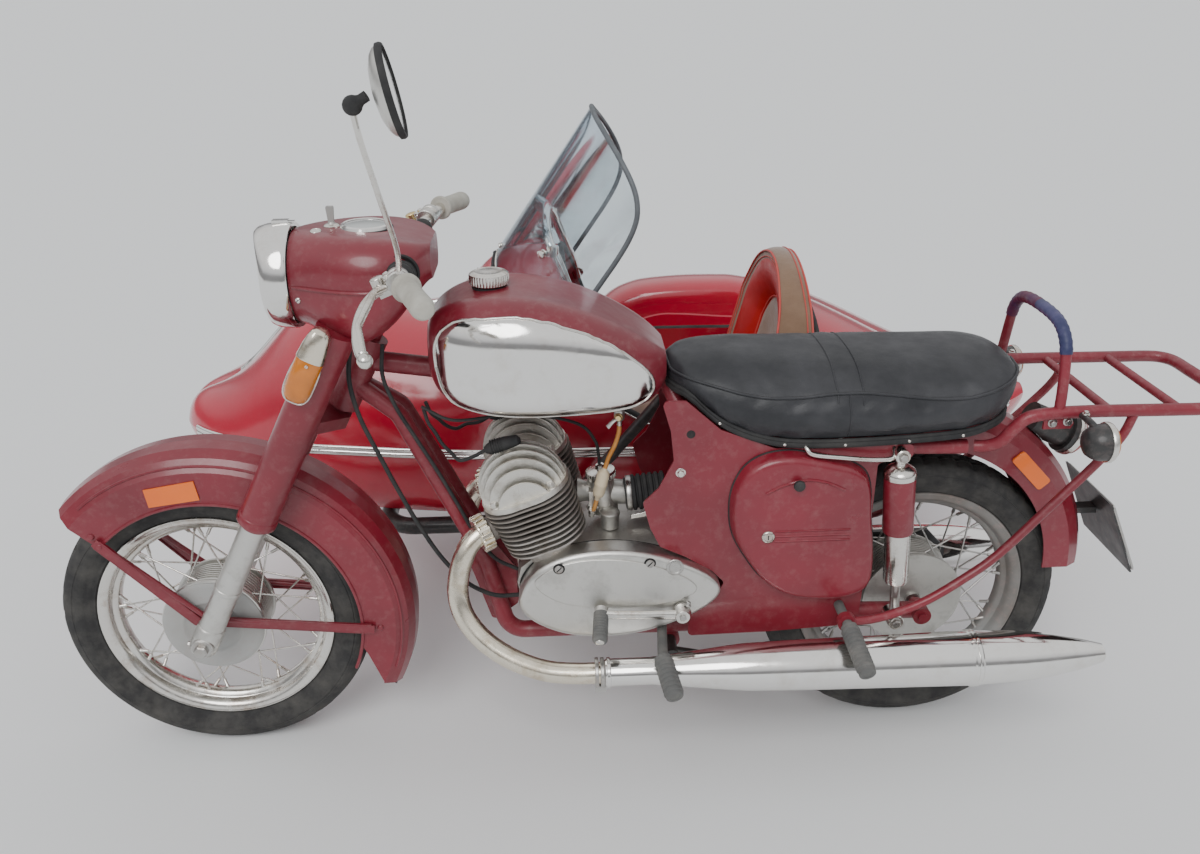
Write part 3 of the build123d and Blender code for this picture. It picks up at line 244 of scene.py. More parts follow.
def clear_sheet():
    t = Tree("clear_sheet")
    t.set(Base_Color=(0.86, 0.92, 0.93), Roughness=0.04, Transmission_Weight=1, IOR=1.1)
    see = t.node("BsdfTransparent", Color=(0.86, 0.9, 0.92))
    fres = t.node("Fresnel", IOR=1.42)
    haze = t.math("MULTIPLY", t.span(t.noise(9, 5, 0.7), 0.4, 0.75), 0.16)
    gloss = t.node("BsdfGlossy", Color=(0.9, 0.95, 1), Roughness=0.08)
    mix = t.node("MixShader", Fac=t.math("ADD", t.math("MULTIPLY", fres.outputs[0], 0.8), haze))
    for i, node in enumerate((see, gloss)):
        t.l.new(node.outputs[0], mix.inputs[i + 1])
    t.l.new(mix.outputs[0], t.n["Material Output"].inputs[0])
    return t.mat


def cloth(name, colour, worn, rough=0.6, weave=900, strength=0.3, sheen=0.2, crease=0.25):
    t = Tree(name)
    t.set(Base_Color=t.mix(t.span(t.noise(9, 6, 0.65), 0.35, 0.75), colour, worn))
    t.set(Roughness=t.span(t.noise(25, 5), 0.3, 0.7, rough - 0.08, rough + 0.12), IOR=1.45, Sheen_Weight=sheen)
    fine = t.bump(t.noise(weave, 2), strength, 0.0006)
    t.set(Normal=t.bump(t.noise(22, 5, 0.6, (1, 1, 1.6)), crease, 0.004, fine))
    return t.mat


CLEAR = clear_sheet()
VINYL = cloth("black_vinyl", (0.018, 0.019, 0.022), (0.05, 0.05, 0.055), 0.42, 700, 0.35, 0, 0.3)
RED_VINYL = cloth("red_vinyl", (0.5, 0.012, 0.012), (0.42, 0.01, 0.012), 0.42, 700, 0.2, 0, 0.2)
SUEDE = cloth("brown_suede", (0.2, 0.115, 0.068), (0.28, 0.175, 0.11), 0.85, 500, 0.5, 0.5, 0.5)
RED_PIPING = cloth("red_piping", (0.6, 0.06, 0.05), (0.5, 0.1, 0.08), 0.45, 500, 0.2, 0, 0.1)


def dress(name, material):
    o = nodes[name]
    o.data.materials.clear()
    o.data.materials.append(material)


dressing = (
    (RED, "fork_yoke nacelle front_mudguard centre_body side_covers rear_mudguard"),
    (RED_CHIPPED, "fuel_tank"),
    (FRAME_RED, "main_frame swingarm rear_rack"),
    (SIDE_RED, "sidecar_hull sidecar_deck sidecar_mudguard"),
    (ALLOY, "fork_legs case_covers"),
    (ALLOY_ROUGH, "crankcase cylinder_heads carburettor"),
    (IRON, "cylinders"),
    (CHROME, "headlamp exhausts grab_rail"),
    (CHROME_WORN, "handlebar tank_cap shock_absorbers mirror fork_lamps front_rim"),
    (STEEL, "rear_rim sidecar_rim"),
    (BLACK, "chain_case tail_lamp rear_indicators number_plate centre_stand sidecar_frame"),
    (RUBBER, "seat control_cables sidecar_seat backrest"),
    (GREY_RUBBER, "grips"),
    (PEG_RUBBER, "footpegs"),
    (TYRE, "front_tyre rear_tyre sidecar_tyre"),
    (CLEAR, "windscreen"),
)
for material, names in dressing:
    for node_name in names.split():
        dress(node_name, material)


def smooth_line(points, steps=6):
    # a curve through the points
    pts = [Vector(p) for p in points]
    if len(pts) < 3:
        return pts
    ends = [pts[0] * 2 - pts[1]] + pts + [pts[-1] * 2 - pts[-2]]
    out = []
    for a, b, c, d in zip(ends, ends[1:], ends[2:], ends[3:]):
        for i in range(steps):
            t = i / steps
            square, cube = 2 * a - 5 * b + 4 * c - d, 3 * b - a - 3 * c + d
            out.append(0.5 * (2 * b + (c - a) * t + square * t * t + cube * t ** 3))
    return out + [pts[-1]]


def closed_curve(outline, steps):
    # a smooth closed curve through an outline given as x and z
    wrap = outline + outline[:3]
    return smooth_line([(x, 0, z) for x, z in wrap], steps)[steps:-steps]


def mirrored(points, side):
    return [(x, side * y, z) for x, y, z in points]


def ball(radius, first, last, parts, centre=0):
    # a lathe's profile round a ball, from one part of its half turn to another
    turns = [math.pi * k / parts for k in range(first, last)]
    return [(radius * math.sin(t), centre - radius * math.cos(t)) for t in turns]


class Kit:
    """Gathers shapes, in the outfit's millimetres, into one piece."""

    def __init__(self, name, body, mats, slot=None, bevel=0, sharp=40):
        self.name, self.body, self.slot, self.bevel, self.sharp = name, body, slot, bevel, sharp
        self.mats = mats if isinstance(mats, list) else [mats]
        self.v, self.f, self.m = [], [], []

    def add(self, verts, faces, mat=0):
        n = len(self.v)
        self.v += [tuple(p) for p in verts]
        self.f += [tuple(i + n for i in f) for f in faces]
        self.m += [mat] * len(faces)

    def grid(self, rows, mat=0, ring=True, caps=True):
        # rows of points with the same count; ring closes each row
        n = len(rows[0])
        verts = [p for row in rows for p in row]
        last = n if ring else n - 1
        faces = [(i * n + j, i * n + (j + 1) % n, (i + 1) * n + (j + 1) % n, (i + 1) * n + j)
            for i in range(len(rows) - 1) for j in range(last)]
        if caps and ring:
            faces += [tuple(range(n - 1, -1, -1)), tuple((len(rows) - 1) * n + j for j in range(n))]
        self.add(verts, faces, mat)

    def lathe(self, origin, axis, profile, steps=40, mat=0, closed=False):
        # profile: radius and distance along the axis; radius 0 at an end closes it
        o, w = Vector(origin), Vector(axis).normalized()
        u = w.orthogonal().normalized()
        t = w.cross(u)
        verts, index = [], []
        for r, s in profile:
            if r < 1e-6:
                index.append([len(verts)] * steps)
                verts.append(o + w * s)
            else:
                index.append(list(range(len(verts), len(verts) + steps)))
                for k in range(steps):
                    a = 2 * math.pi * k / steps
                    verts.append(o + w * s + (u * math.cos(a) + t * math.sin(a)) * r)
        pairs = list(zip(index, index[1:]))
        if closed:
            pairs.append((index[-1], index[0]))
        faces = []
        for a, b in pairs:
            for k in range(steps):
                j = (k + 1) % steps
                face = []
                for i in (a[k], a[j], b[j], b[k]):
                    if i not in face:
                        face.append(i)
                if len(face) > 2:
                    faces.append(tuple(face))
        if not closed:
            for end, flip in ((index[0], 1), (index[-1], 0)):
                if end[0] != end[-1]:
                    faces.append(tuple(reversed(end)) if flip else tuple(end))
        self.add(verts, faces, mat)

    def tube(self, points, radius, steps=10, mat=0, curve=5, closed=False, flat=1, up=None):
        pts = smooth_line(points, curve) if curve else [Vector(p) for p in points]
        n = len(pts)
        radii = radius if isinstance(radius, (list, tuple)) else [radius] * n
        if len(radii) != n:
            radii = [radii[min(len(radii) - 1, int(i * len(radii) / n))] for i in range(n)]
        rows, u = [], None
        for i, p in enumerate(pts):
            if closed:
                w = (pts[(i + 1) % n] - pts[i - 1]).normalized()
            else:
                w = (pts[min(i + 1, n - 1)] - pts[max(i - 1, 0)]).normalized()
            if up is not None:
                u = (Vector(up) - w * w.dot(Vector(up))).normalized()
            else:
                u = w.orthogonal().normalized() if u is None else (u - w * u.dot(w)).normalized()
            t = w.cross(u)
            rows.append([p + (u * math.cos(2 * math.pi * k / steps)
                + t * math.sin(2 * math.pi * k / steps) * flat) * radii[i] for k in range(steps)])
        if closed:
            rows.append(rows[0])
        self.grid(rows, mat, True, not closed)

    def brick(self, centre, size, mat=0, x_dir=(1, 0, 0), z_dir=(0, 0, 1)):
        z = Vector(z_dir).normalized()
        x = (Vector(x_dir) - z * z.dot(Vector(x_dir))).normalized()
        y = z.cross(x)
        c = Vector(centre)
        verts = [c + x * (sx * size[0] / 2) + y * (sy * size[1] / 2) + z * (sz * size[2] / 2) for sz in (-1, 1)
            for sy in (-1, 1) for sx in (-1, 1)]
        self.add(verts, [(0, 2, 3, 1), (4, 5, 7, 6), (0, 1, 5, 4), (2, 6, 7, 3), (0, 4, 6, 2), (1, 3, 7, 5)],
            mat)

    def slab(self, outline, origin, u, v, depth, mat=0):
        # outline in the plane of u and v, thick along their normal
        u, v, o = Vector(u).normalized(), Vector(v).normalized(), Vector(origin)
        w = u.cross(v)
        base = [o + u * x + v * y for x, y in outline]
        n = len(base)
        verts = base + [p + w * depth for p in base]
        faces = [tuple(range(n - 1, -1, -1)), tuple(range(n, 2 * n))]
        faces += [(i, (i + 1) % n, n + (i + 1) % n, n + i) for i in range(n)]
        self.add(verts, faces, mat)

    def bolt(self, at, axis, size=6, height=5, mat=0, washer=True):
        o, w = Vector(at), Vector(axis).normalized()
        if washer:
            self.lathe(o, w, [(size * 1.35, -0.4), (size * 1.35, 1), (size * 1.25, 1.4), (0, 1.4)], 16, mat)
        self.lathe(o + w * 1.4, w, [(size, -0.2), (size, height * 0.8), (size * 0.82, height), (0, height)], 6,
            mat)

    def screw(self, at, axis, radius=6, mat=0, dark=1):
        # cheese-head screw; its slot is a thin strip of the material dark, near-black painted shade where the
        # piece gives it
        o, w = Vector(at), Vector(axis).normalized()
        self.lathe(o, w, [(radius, -0.5), (radius, 2.4), (radius * 0.85, 3.2), (0, 3.2)], 20, mat)
        u = w.orthogonal().normalized()
        self.brick(o + w * 3.1, (radius * 1.6, radius * 0.28, 0.6), dark, u, w)

    def make(self):
        mesh = bpy.data.meshes.new(self.name)
        mesh.from_pydata([P(*p) for p in self.v], [], self.f)
        for mat in self.mats:
            mesh.materials.append(mat)
        mesh.polygons.foreach_set("material_index", self.m)
        repair(mesh)
        mesh.polygons.foreach_set("use_smooth", [True] * len(mesh.polygons))
        mesh.set_sharp_from_angle(angle=math.radians(self.sharp))
        obj = bpy.data.objects.new(self.name, mesh)
        bpy.context.scene.collection.objects.link(obj)
        if self.bevel:
            mod = obj.modifiers.new("bevel", "BEVEL")
            mod.width = self.bevel / 1000
            mod.segments = 2
            mod.limit_method = "ANGLE"
            mod.angle_limit = math.radians(50)
        if self.body:
            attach(obj, self.body)
        return obj


def applied(obj):
    # the mesh with its modifiers
    return bpy.data.meshes.new_from_object(obj.evaluated_get(bpy.context.evaluated_depsgraph_get()))


def repair(mesh, weld=0, thin=0):
    # joins points closer than weld, drops faces thinner than thin, and turns all faces outward
    bm = bmesh.new()
    bm.from_mesh(mesh)
    if weld:
        bmesh.ops.remove_doubles(bm, verts=bm.verts, dist=weld)
    if thin:
        bmesh.ops.dissolve_degenerate(bm, edges=bm.edges, dist=thin)
    bmesh.ops.recalc_face_normals(bm, faces=bm.faces)
    bm.to_mesh(mesh)
    bm.free()


def mesh_tree(obj):
    # a piece's surface, in the outfit's millimetres
    mesh = obj.evaluated_get(bpy.context.evaluated_depsgraph_get()).data
    verts = [(v.co.x * 1000 - REAR_X, v.co.y * 1000 - BIKE_Y, v.co.z * 1000) for v in mesh.vertices]
    return BVHTree.FromPolygons(verts, [tuple(p.vertices) for p in mesh.polygons])


def side_point(tree, x, z, side=-1, out=900, middle=0):
    # where a line along Y meets the surface, and the surface's direction there
    hit = tree.ray_cast(V(x, middle + side * out, z), V(0, -side, 0))
    if hit[0] is None:
        hit = tree.find_nearest(V(x, middle + side * 120, z))
    n = hit[1]
    return hit[0], (n if n.y * side > 0 else -n)


def top_point(tree, x, y):
    hit = tree.ray_cast(V(x, y, ABOVE), V(0, 0, -1))
    return hit[0], (hit[1] if hit[1].z > 0 else -hit[1])


# Wheels: each has a tyre, a rolled rim, crossed spokes and a ribbed hub.
def tyre(name, x, y, body, node, grooves, blocks):
    half = [(205, 24), (214, 27.5), (221, 29), (222.5, 31.5), (226, 32.5), (229, 34.5), (235, 38.2),
        (238, 38.6), (240, 40), (250, 42.6), (258, 42.4), (259, 41.4), (261, 41.2), (262, 41.9), (268, 40.2),
        (274, 37.2), (278, 33.6), (281.5, 28.6)]
    crown = [(281.6, 28)]
    for w in range(28, -29, -1):
        crown.append((281.6 + 5.2 * (1 - (w / 28) ** 2), w))
    prof = half + crown + [(r, -w) for r, w in reversed(half)]
    n = 216
    rows = []
    for i in range(n):
        a = 2 * math.pi * i / n
        ca, sa = math.cos(a), math.sin(a)
        row = []
        for r, w in prof:
            if r > 280:
                cut = 0
                for g, wide in grooves:
                    if abs(abs(w) - g) < wide / 2:
                        cut = GROOVE
                if blocks and abs(w) > blocks[0]:
                    phase = (i + (blocks[2] if w > 0 else 0)) % blocks[1]
                    if phase == 0:
                        cut = GROOVE
                r -= cut
            row.append((x + r * ca, y - w, AXLE_Z + r * sa))
        rows.append(row)
    rows.append(rows[0])
    kit = Kit(name, body, TYRE, "tyre", sharp=32)
    kit.grid(rows, 0, True, False)
    obj = kit.make()
    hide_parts(node)


def wheel(prefix, x, y, body, node, rim_mat, hub_mat, slot, disc=None):
    c = (x, y, AXLE_Z)
    kit = Kit(prefix + "_rim_ring", body, rim_mat, slot, sharp=42)
    lip = [(216.5 + 3 * math.cos(t), 30 + 3 * math.sin(t)) for t in [math.radians(d) for d in (-150, -100, -50,
        0, 50, 100, 140)]]
    well = [(212, 31.6), (206, 30), (201.5, 26), (199, 20), (197, 15.5), (190, 12.5), (186.5, 8), (186, 0)]
    side = lip + well
    outer = [(213.5, 27), (205, 25), (202.5, 20), (192, 12), (191, 0)]
    ring = side + [(r, -w) for r, w in reversed(side[:-1])] + [(r, -w) for r, w in outer[:-1]] + [(r, w) for r,
        w in reversed(outer)]
    kit.lathe(c, (0, 1, 0), ring, 96, 0, closed=True)
    rim = kit.make()
    kit = Kit(prefix + "_spokes", body, STEEL if rim_mat is not CHROME_WORN else CHROME_WORN, slot, sharp=60)
    for i in range(SPOKES):
        s = 1 if i % 2 else -1
        lean = math.radians(34 if (i // 2) % 2 else -34)
        a = 2 * math.pi * i / SPOKES
        b = a + lean
        lift = 35 + (1.8 if (i // 2) % 2 else -1.8)
        p = V(x + SPOKE_IN * math.cos(a), y + s * lift, AXLE_Z + SPOKE_IN * math.sin(a))
        q = V(x + SPOKE_OUT * math.cos(b), y + s * 5, AXLE_Z + SPOKE_OUT * math.sin(b))
        kit.tube([p, q], 1.75, 7, 0, curve=0)
        d = (q - p).normalized()
        kit.lathe(q - d * 20, d, [(2, 0), (3.1, 1), (3.1, 14), (4, 15), (4, 21)], 8, 0)
        kit.lathe(p - d * 1, V(0, s, 0), [(3.4, 0.5), (3.4, 3.4), (2.4, 4.6), (0, 4.8)], 8, 0)
    spokes = kit.make()
    kit = Kit(prefix + "_hub", body, [hub_mat, STEEL, disc or hub_mat], slot, sharp=35)
    prof = [(10, -54), (55, -54.5), (60, -53), (90, -51), (95.5, -49), (96, -44), (92, -42.5), (86.5, -41.5),
        (86, -38), (93, -37.4), (93.4, -33.2), (84.5, -32.4)]
    w = -30
    while w < 27:
        prof += [(84, w), (90, w + 0.9), (90.4, w + 2.4), (90, w + 3.9), (84, w + 4.8)]
        w += 7.2
    prof += [(84, 32), (93, 33), (93.4, 37.2), (90, 39), (72, 44), (60, 46.5), (40, 50), (30, 51.5), (10, 52)]
    kit.lathe(c, (0, 1, 0), prof, 72, 0, closed=True)
    if disc:
        # pressed cover over the hub's left face, with its inner ring
        kit.lathe(c, (0, -1, 0), [(93, 50.2), (93, 52.5), (90, 54.2), (84, 54.8), (60, 55.6), (57, 57.2),
            (54, 57.6), (51, 56.4), (48, 55.4), (28, 56.4), (24, 58.4), (18, 58.8), (10, 58.8)], 72, 2)
    kit.lathe(c, (0, -1, 0), [(9.2, 50), (16, 50), (16, 59.4), (13, 60), (9.2, 60)], 24, 1)
    hub = kit.make()
    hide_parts(node)
    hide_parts(node)
    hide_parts(node)


tyre("front_tyre_ribbed", FRONT_X, 0, "front_wheel", "front_tyre", [(7, 2.2), (19, 2.2)], (22, 6, 3))
tyre("rear_tyre_blocks", 0, 0, "rear_wheel", "rear_tyre", [(5.5, 2.4), (16, 2.4)], (6, 4, 2))
tyre("sidecar_tyre_blocks", SIDE_X, SIDE_Y, "sidecar_wheel", "sidecar_tyre", [(5.5, 2.4), (16, 2.4)], (6, 4, 2))
wheel("front", FRONT_X, 0, "front_wheel", "front_rim", CHROME_WORN, ALLOY, "rim_chrome", GREY_PAINT)
wheel("rear", 0, 0, "rear_wheel", "rear_rim", RIM_GREY, ALLOY_ROUGH, "rim_grey")
wheel("sidecar", SIDE_X, SIDE_Y, "sidecar_wheel", "sidecar_rim", RIM_GREY, ALLOY_ROUGH, "rim_grey")

# Front end, all on the fork.
nacelle_tree = mesh_tree(nodes["nacelle"])

kit = Kit("headlamp_rim", "fork", [CHROME, LAMP_GLASS, ALLOY], "chrome", sharp=35)
c = V(-1092.6, 0, 944)
prof = [(80, 1), (86, 0), (88, 3), (88.5, 10), (88, 22), (86, 34), (82.5, 42), (78.5, 45), (75, 43), (74.5, 38)]
rows = []
for r, s in prof:
    row = []
    for k in range(72):
        a = 2 * math.pi * k / 72
        up = max(0, math.cos(a)) ** 3
        peak = 15 * up * max(0, (s - 24) / 21) if s > 24 else 0
        row.append(c + V(-s - peak, r * math.sin(a), r * math.cos(a)))
    rows.append(row)
kit.grid(rows, 0, True, False)
kit.lathe(c, (-1, 0, 0), [(74.6, 38), (68, 43), (50, 49), (28, 53), (0, 54.5)], 64, 1)
kit.lathe(c, (-1, 0, 0), [(73, 34), (60, 18), (30, 6), (12, 3), (12, 24), (9, 28), (0, 29)], 48, 2)
kit.brick(c + V(-18, 0, 90), (26, 14, 5), 0)
kit.brick(c + V(-2, 0, 88.5), (14, 9, 4), 0)
lamp = kit.make()
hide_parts("headlamp")

top, _ = top_point(nacelle_tree, -974, 0)
kit = Kit("speedometer", "fork", [CHROME, DIAL, RUBBER], "chrome", sharp=35)
kit.lathe(top + V(0, 0, -3), (0.02, 0, 1), [(30, 0), (40.5, 0), (41.5, 3), (40, 7), (37, 9), (34.5, 8), (34, 6),
    (33.5, 6)], 56, 0)
kit.lathe(top + V(0, 0, -3), (0.02, 0, 1), [(34.4, 6.6), (20, 8.4), (0, 9)], 48, 1)
kit.lathe(top + V(0, 0, -5), (0.02, 0, 1), [(44, 0), (44.5, 4), (42, 5), (38, 5)], 56, 2)
kit.make()

key, _ = top_point(nacelle_tree, -1029, 0)
kit = Kit("ignition_key", "fork", [GREY_PAINT, CHROME_WORN], "grip_grey", bevel=1.2)
kit.lathe(key + V(0, 0, -2), (0, 0, 1), [(13, 0), (13, 3), (11, 5), (6, 6), (5, 9), (0, 9)], 28, 1)
kit.slab([(-4.5, 5), (4.5, 5), (6.5, 30), (5.5, 33), (-5.5, 33), (-6.5, 30)], key + V(0, 3, 0), (1, 0, 0),
    (0, 0, 1), 6, 0)
button, _ = top_point(nacelle_tree, -1048, -34)
kit.lathe(button + V(0, 0, -2), (0, -0.2, 1), [(9, 0), (9, 3.2), (7, 4.2), (6.6, 3.2), (0, 3)], 24, 1)
kit.make()

kit = Kit("nacelle_seams", "fork", [RED, RECESS_SHADE, CHROME_WORN], "dark_red")
for side in (-1, 1):
    line = []
    for k in range(25):
        x = -1086 + 152 * k / 24
        p, n = side_point(nacelle_tree, x, 946, side)
        line.append(p + n * 0.6)
    kit.tube(line, [2] + [3.2] * 22 + [1.6], 8, 0, curve=0)
    # eyelets where the bars leave, near-black rings painting the shade of the openings
    out = V(0.02, side * 0.95, 0.3).normalized()
    p, n = side_point(nacelle_tree, -908, 972, side)
    kit.lathe(p - out * 6, out, [(30, 0), (31, 5), (28, 9), (24.5, 7), (24, 2)], 36, 1)
    for x in (-1078, -960):
        p, n = side_point(nacelle_tree, x, 925, side)
        kit.screw(p - n * 1, n, 5, 2, 1)
kit.make()

# Bars, clamps, levers and grips.
kit = Kit("bar_controls", "fork", [CHROME_WORN, ALLOY, RUBBER, BRASS], "chrome", bevel=0.8, sharp=38)
for side in (-1, 1):
    # ribbed boot, then the lever's clamp
    line = [(-905, side * 118, 971), (-902, side * 150, 979.5), (-900.5, side * 180, 985.5)]
    a, b = Vector(line[0]), Vector(line[2])
    w = (b - a).normalized()
    kit.lathe(a, w, [(14, 0), (23, 0), (24, 6), (19, 9), (22, 14), (22, 20), (17.5, 23), (20.5, 28), (20, 34),
        (15.5, 37), (15.5, 48), (12, 50)], 30, 2)
    c0 = V(-900, side * 190, 987)
    w = V(0.16, side * 0.98, 0.08).normalized()
    kit.lathe(c0, w, [(11.5, 0), (17, 0), (18, 2), (18, 14), (16, 16), (16, 26), (18, 28), (18, 38), (16, 40),
        (11.5, 40)], 28, 1)
    kit.brick(c0 + w * 22 + V(-14, 0, -10), (30, 26, 16), 1, (0.8, side * 0.1, 0.4), (0.4, 0, -0.9))
    kit.bolt(c0 + w * 8 + V(-16, 0, 6), (-0.5, 0, 0.8), 5, 5, 0)
    kit.bolt(c0 + w * 30 + V(-16, 0, 6), (-0.5, 0, 0.8), 5, 5, 0)
    kit.lathe(c0 + w * 21 + V(-28, 0, -6), (-0.3, 0, 0.9), [(0, -4), (11, -4), (11, 12), (8, 14), (0, 14)], 22,
        0 if side < 0 else 3)
    lever = [(-912, side * 212, 982), (-930, side * 226, 975), (-944, side * 252, 962), (-949, side * 286, 943),
        (-944, side * 316, 924), (-935, side * 333, 913)]
    radii = [10.5, 10, 9.2, 8.6, 8, 7.6] + [7.2] * 6 + [7.4] * 6 + [8] * 4 + [8.6] * 4
    kit.tube(lever, radii, 14, 0, curve=5, flat=0.66)
    kit.lathe(V(-934, side * 336, 911) - V(0.35, side * 0.72, -0.6).normalized() * -11, V(-0.3, -side * 0.75,
        0.6), [(0, -1)] + ball(11.5, 1, 9, 10, 11.5) + [(8, 24)], 22, 0)
kit.make()

kit = Kit("grips_moulded", "fork", GREY_RUBBER, "grip_grey", sharp=32)
for side in (-1, 1):
    a, b = V(-877, side * 264.5, 993), V(-843, side * 353, 988)
    w = (b - a).normalized()
    prof = [(11.2, -7), (20, -7), (21.8, -4.5), (22, -1), (20.5, 2), (18, 4)]
    prof += [(17.2, 10), (16.9, 30), (17, 55), (17.4, 76), (17.4, 84), (16.2, 90.5), (13, 95), (8, 97),
        (0, 97.6)]
    kit.lathe(a, w, prof, 36, 0)
grip = kit.make()
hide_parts("grips")

# Side lamps: bright cap above, amber lens in a pale frame below.
kit = Kit("fork_lamp_caps", "fork", [CREAM_METAL, AMBER, CHROME_WORN], "amber", sharp=35)
down = V(-math.sin(RAKE), 0, -math.cos(RAKE))
ahead_dir = V(-math.cos(RAKE), 0, math.sin(RAKE))
for side in (-1, 1):
    base = Vector(down_fork(14, 73, side * 146))

    def section(s, wide, deep, shift=0, n=32, power=2.6):
        row = []
        for k in range(n):
            a = 2 * math.pi * k / n
            ca, sa = math.cos(a), math.sin(a)
            x = math.copysign(abs(ca) ** (2 / power), ca) * wide
            y = math.copysign(abs(sa) ** (2 / power), sa) * deep
            row.append(base + down * s + ahead_dir * x + V(0, side * (y + shift), 0))
        return row
    kit.grid([section(-38, 5, 5, -3), section(-36.5, 10, 9, -2), section(-32, 14.5, 13), section(-22, 18, 16),
        section(-6, 21, 18), section(11, 22.6, 19.2), section(14, 23.2, 19.6), section(16, 23.2, 19.6)], 0)
    kit.grid([section(16, 21.6, 17.8), section(17, 22.4, 18.4), section(50, 22.4, 18.2), section(72, 21.6,
        17.4), section(86, 19, 15.5), section(93, 14, 11.5), section(96, 7, 6)], 1)
    # pale frame round the lens, seen from outside
    ring = []
    for k in range(40):
        a = 2 * math.pi * k / 40
        s = 56 + 42 * math.copysign(abs(math.sin(a)) ** 0.62, math.sin(a))
        x = 22.6 * math.copysign(abs(math.cos(a)) ** 0.62, math.cos(a))
        ring.append(base + down * s + ahead_dir * x + V(0, side * 2, 0))
    kit.tube(ring, 2, 8, 2, curve=0, closed=True)
    kit.screw(base + down * 23 + V(0, side * 18, 0), (0, side, 0), 3, 2, 1)
    kit.brick(base + down * 30 + V(0, -side * 16, 0), (30, 12, 52), 0, ahead_dir, down)
lamps = kit.make()
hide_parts("fork_lamps")

# Mirror: pressed back, dark rim, ball joint on a thin stalk.
kit = Kit("mirror_head", "fork", [CHROME_WORN, RUBBER, CHROME, ALLOY], "chrome", sharp=35)
mc, mn = V(-872, -329, 1266), V(0.97, 0.07, 0.2).normalized()
kit.lathe(mc - mn * 14, mn, [(0, 0), (16, 0.6), (34, 3.6), (48, 9), (54, 14), (57, 20)], 48, 3)
kit.lathe(mc - mn * 14, mn, [(57, 18), (59, 19), (59.5, 24), (58, 27), (54.5, 27.5), (54, 25)], 48, 1,
    closed=True)
kit.lathe(mc - mn * 14, mn, [(55, 24.6), (30, 25), (0, 25.2)], 48, 2)
kit.lathe((-913, -332, 1252), (0.85, 0, 0.5), [(0, -13)] + ball(13, 1, 8, 9) + [(7, 13), (7, 22)], 24, 1)
kit.tube([(-893, -222, 1000), (-890, -240, 1045), (-899, -290, 1130), (-909, -324, 1205), (-914, -332, 1246)],
    4.2, 10, 0)
kit.lathe((-893.5, -219, 992), (0.06, -0.35, 1), [(9, 0), (9, 9), (6, 12), (6, 18), (4.5, 20)], 6, 0)
mirror = kit.make()
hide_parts("mirror")

# Front mudguard: rolled edge, band, reflector, stays with bolts, rubber tab.
guard = mesh_tree(nodes["front_mudguard"])
GX, GZ, GR = -1308, 291, 357
kit = Kit("front_mudguard_trim", "fork", [RED, ORANGE, RUBBER], "dark_red", bevel=0.6, sharp=35)
for side in (-1, 1):
    edge, band = [], []
    for k in range(61):
        a = math.radians(-24 + 159 * k / 60)
        edge.append((GX + 259.5 * math.cos(a), side * 63, GZ + 259.5 * math.sin(a)))
    for k in range(57):
        a = math.radians(-20 + 150 * k / 56)
        r = GR - 26
        p, n = side_point(guard, GX + r * math.cos(a), GZ + r * math.sin(a), side)
        band.append(p + n * 0.4)
    kit.tube(edge, 3.4, 8, 0, curve=0)
    kit.tube(band, 2.6, 8, 0, curve=0)
    # flat stays with folded edges
    for a, b in (((-1500, 484), (-1342, 303)), ((-1026, 276), (-1308, 306))):
        a, b = V(a[0], side * 67, a[1]), V(b[0], side * 71, b[1])
        d = (b - a).normalized()
        across = d.cross(V(0, side, 0)).normalized()
        mid = (a + b) / 2
        kit.brick(mid, ((b - a).length, 17, 3), 0, d, V(0, side, 0))
        for s in (-1, 1):
            kit.brick(mid + across * s * 8.5 - V(0, side * 1.5, 0), ((b - a).length - 12, 3, 6), 0, d,
                V(0, side, 0))
    for x, z in ((-1492, 475), (-1506, 492), (-1034, 277), (-1016, 275)):
        p, n = side_point(guard, x, z, side)
        kit.lathe(p, n, [(6, -0.5), (6, 1.5), (4.5, 3.4), (0, 4.2)], 18, 0)
# reflector on the left side
corners = [(-1397, 583), (-1308, 597), (-1303, 560), (-1393, 548)]
rows = []
for i in range(9):
    t = i / 8
    row = []
    for j in range(17):
        s = j / 16
        x = (corners[0][0] * (1 - s) + corners[1][0] * s) * (1 - t) + (corners[3][0] * (1 - s)
            + corners[2][0] * s) * t
        z = (corners[0][1] * (1 - s) + corners[1][1] * s) * (1 - t) + (corners[3][1] * (1 - s)
            + corners[2][1] * s) * t
        p, n = side_point(guard, x, z, -1)
        row.append(p + n * 2.6)
    rows.append(row)
kit.grid(rows, 1, False)
kit.grid([[p - V(0, -2.4, 0) for p in row] for row in rows], 1, False)
rim = rows[0] + [r[-1] for r in rows[1:]] + list(reversed(rows[-1][:-1])) + [r[0] for r in reversed(rows[1:-1])]
kit.grid([rim, [p + V(0, 2.4, 0) for p in rim]], 1, True, False)
kit.slab([(-30, 0), (30, 0), (26, -26), (-26, -26)], (-1000, 0, 141), (0, 1, 0), (0.35, 0, 0.94), 4, 2)
kit.make()

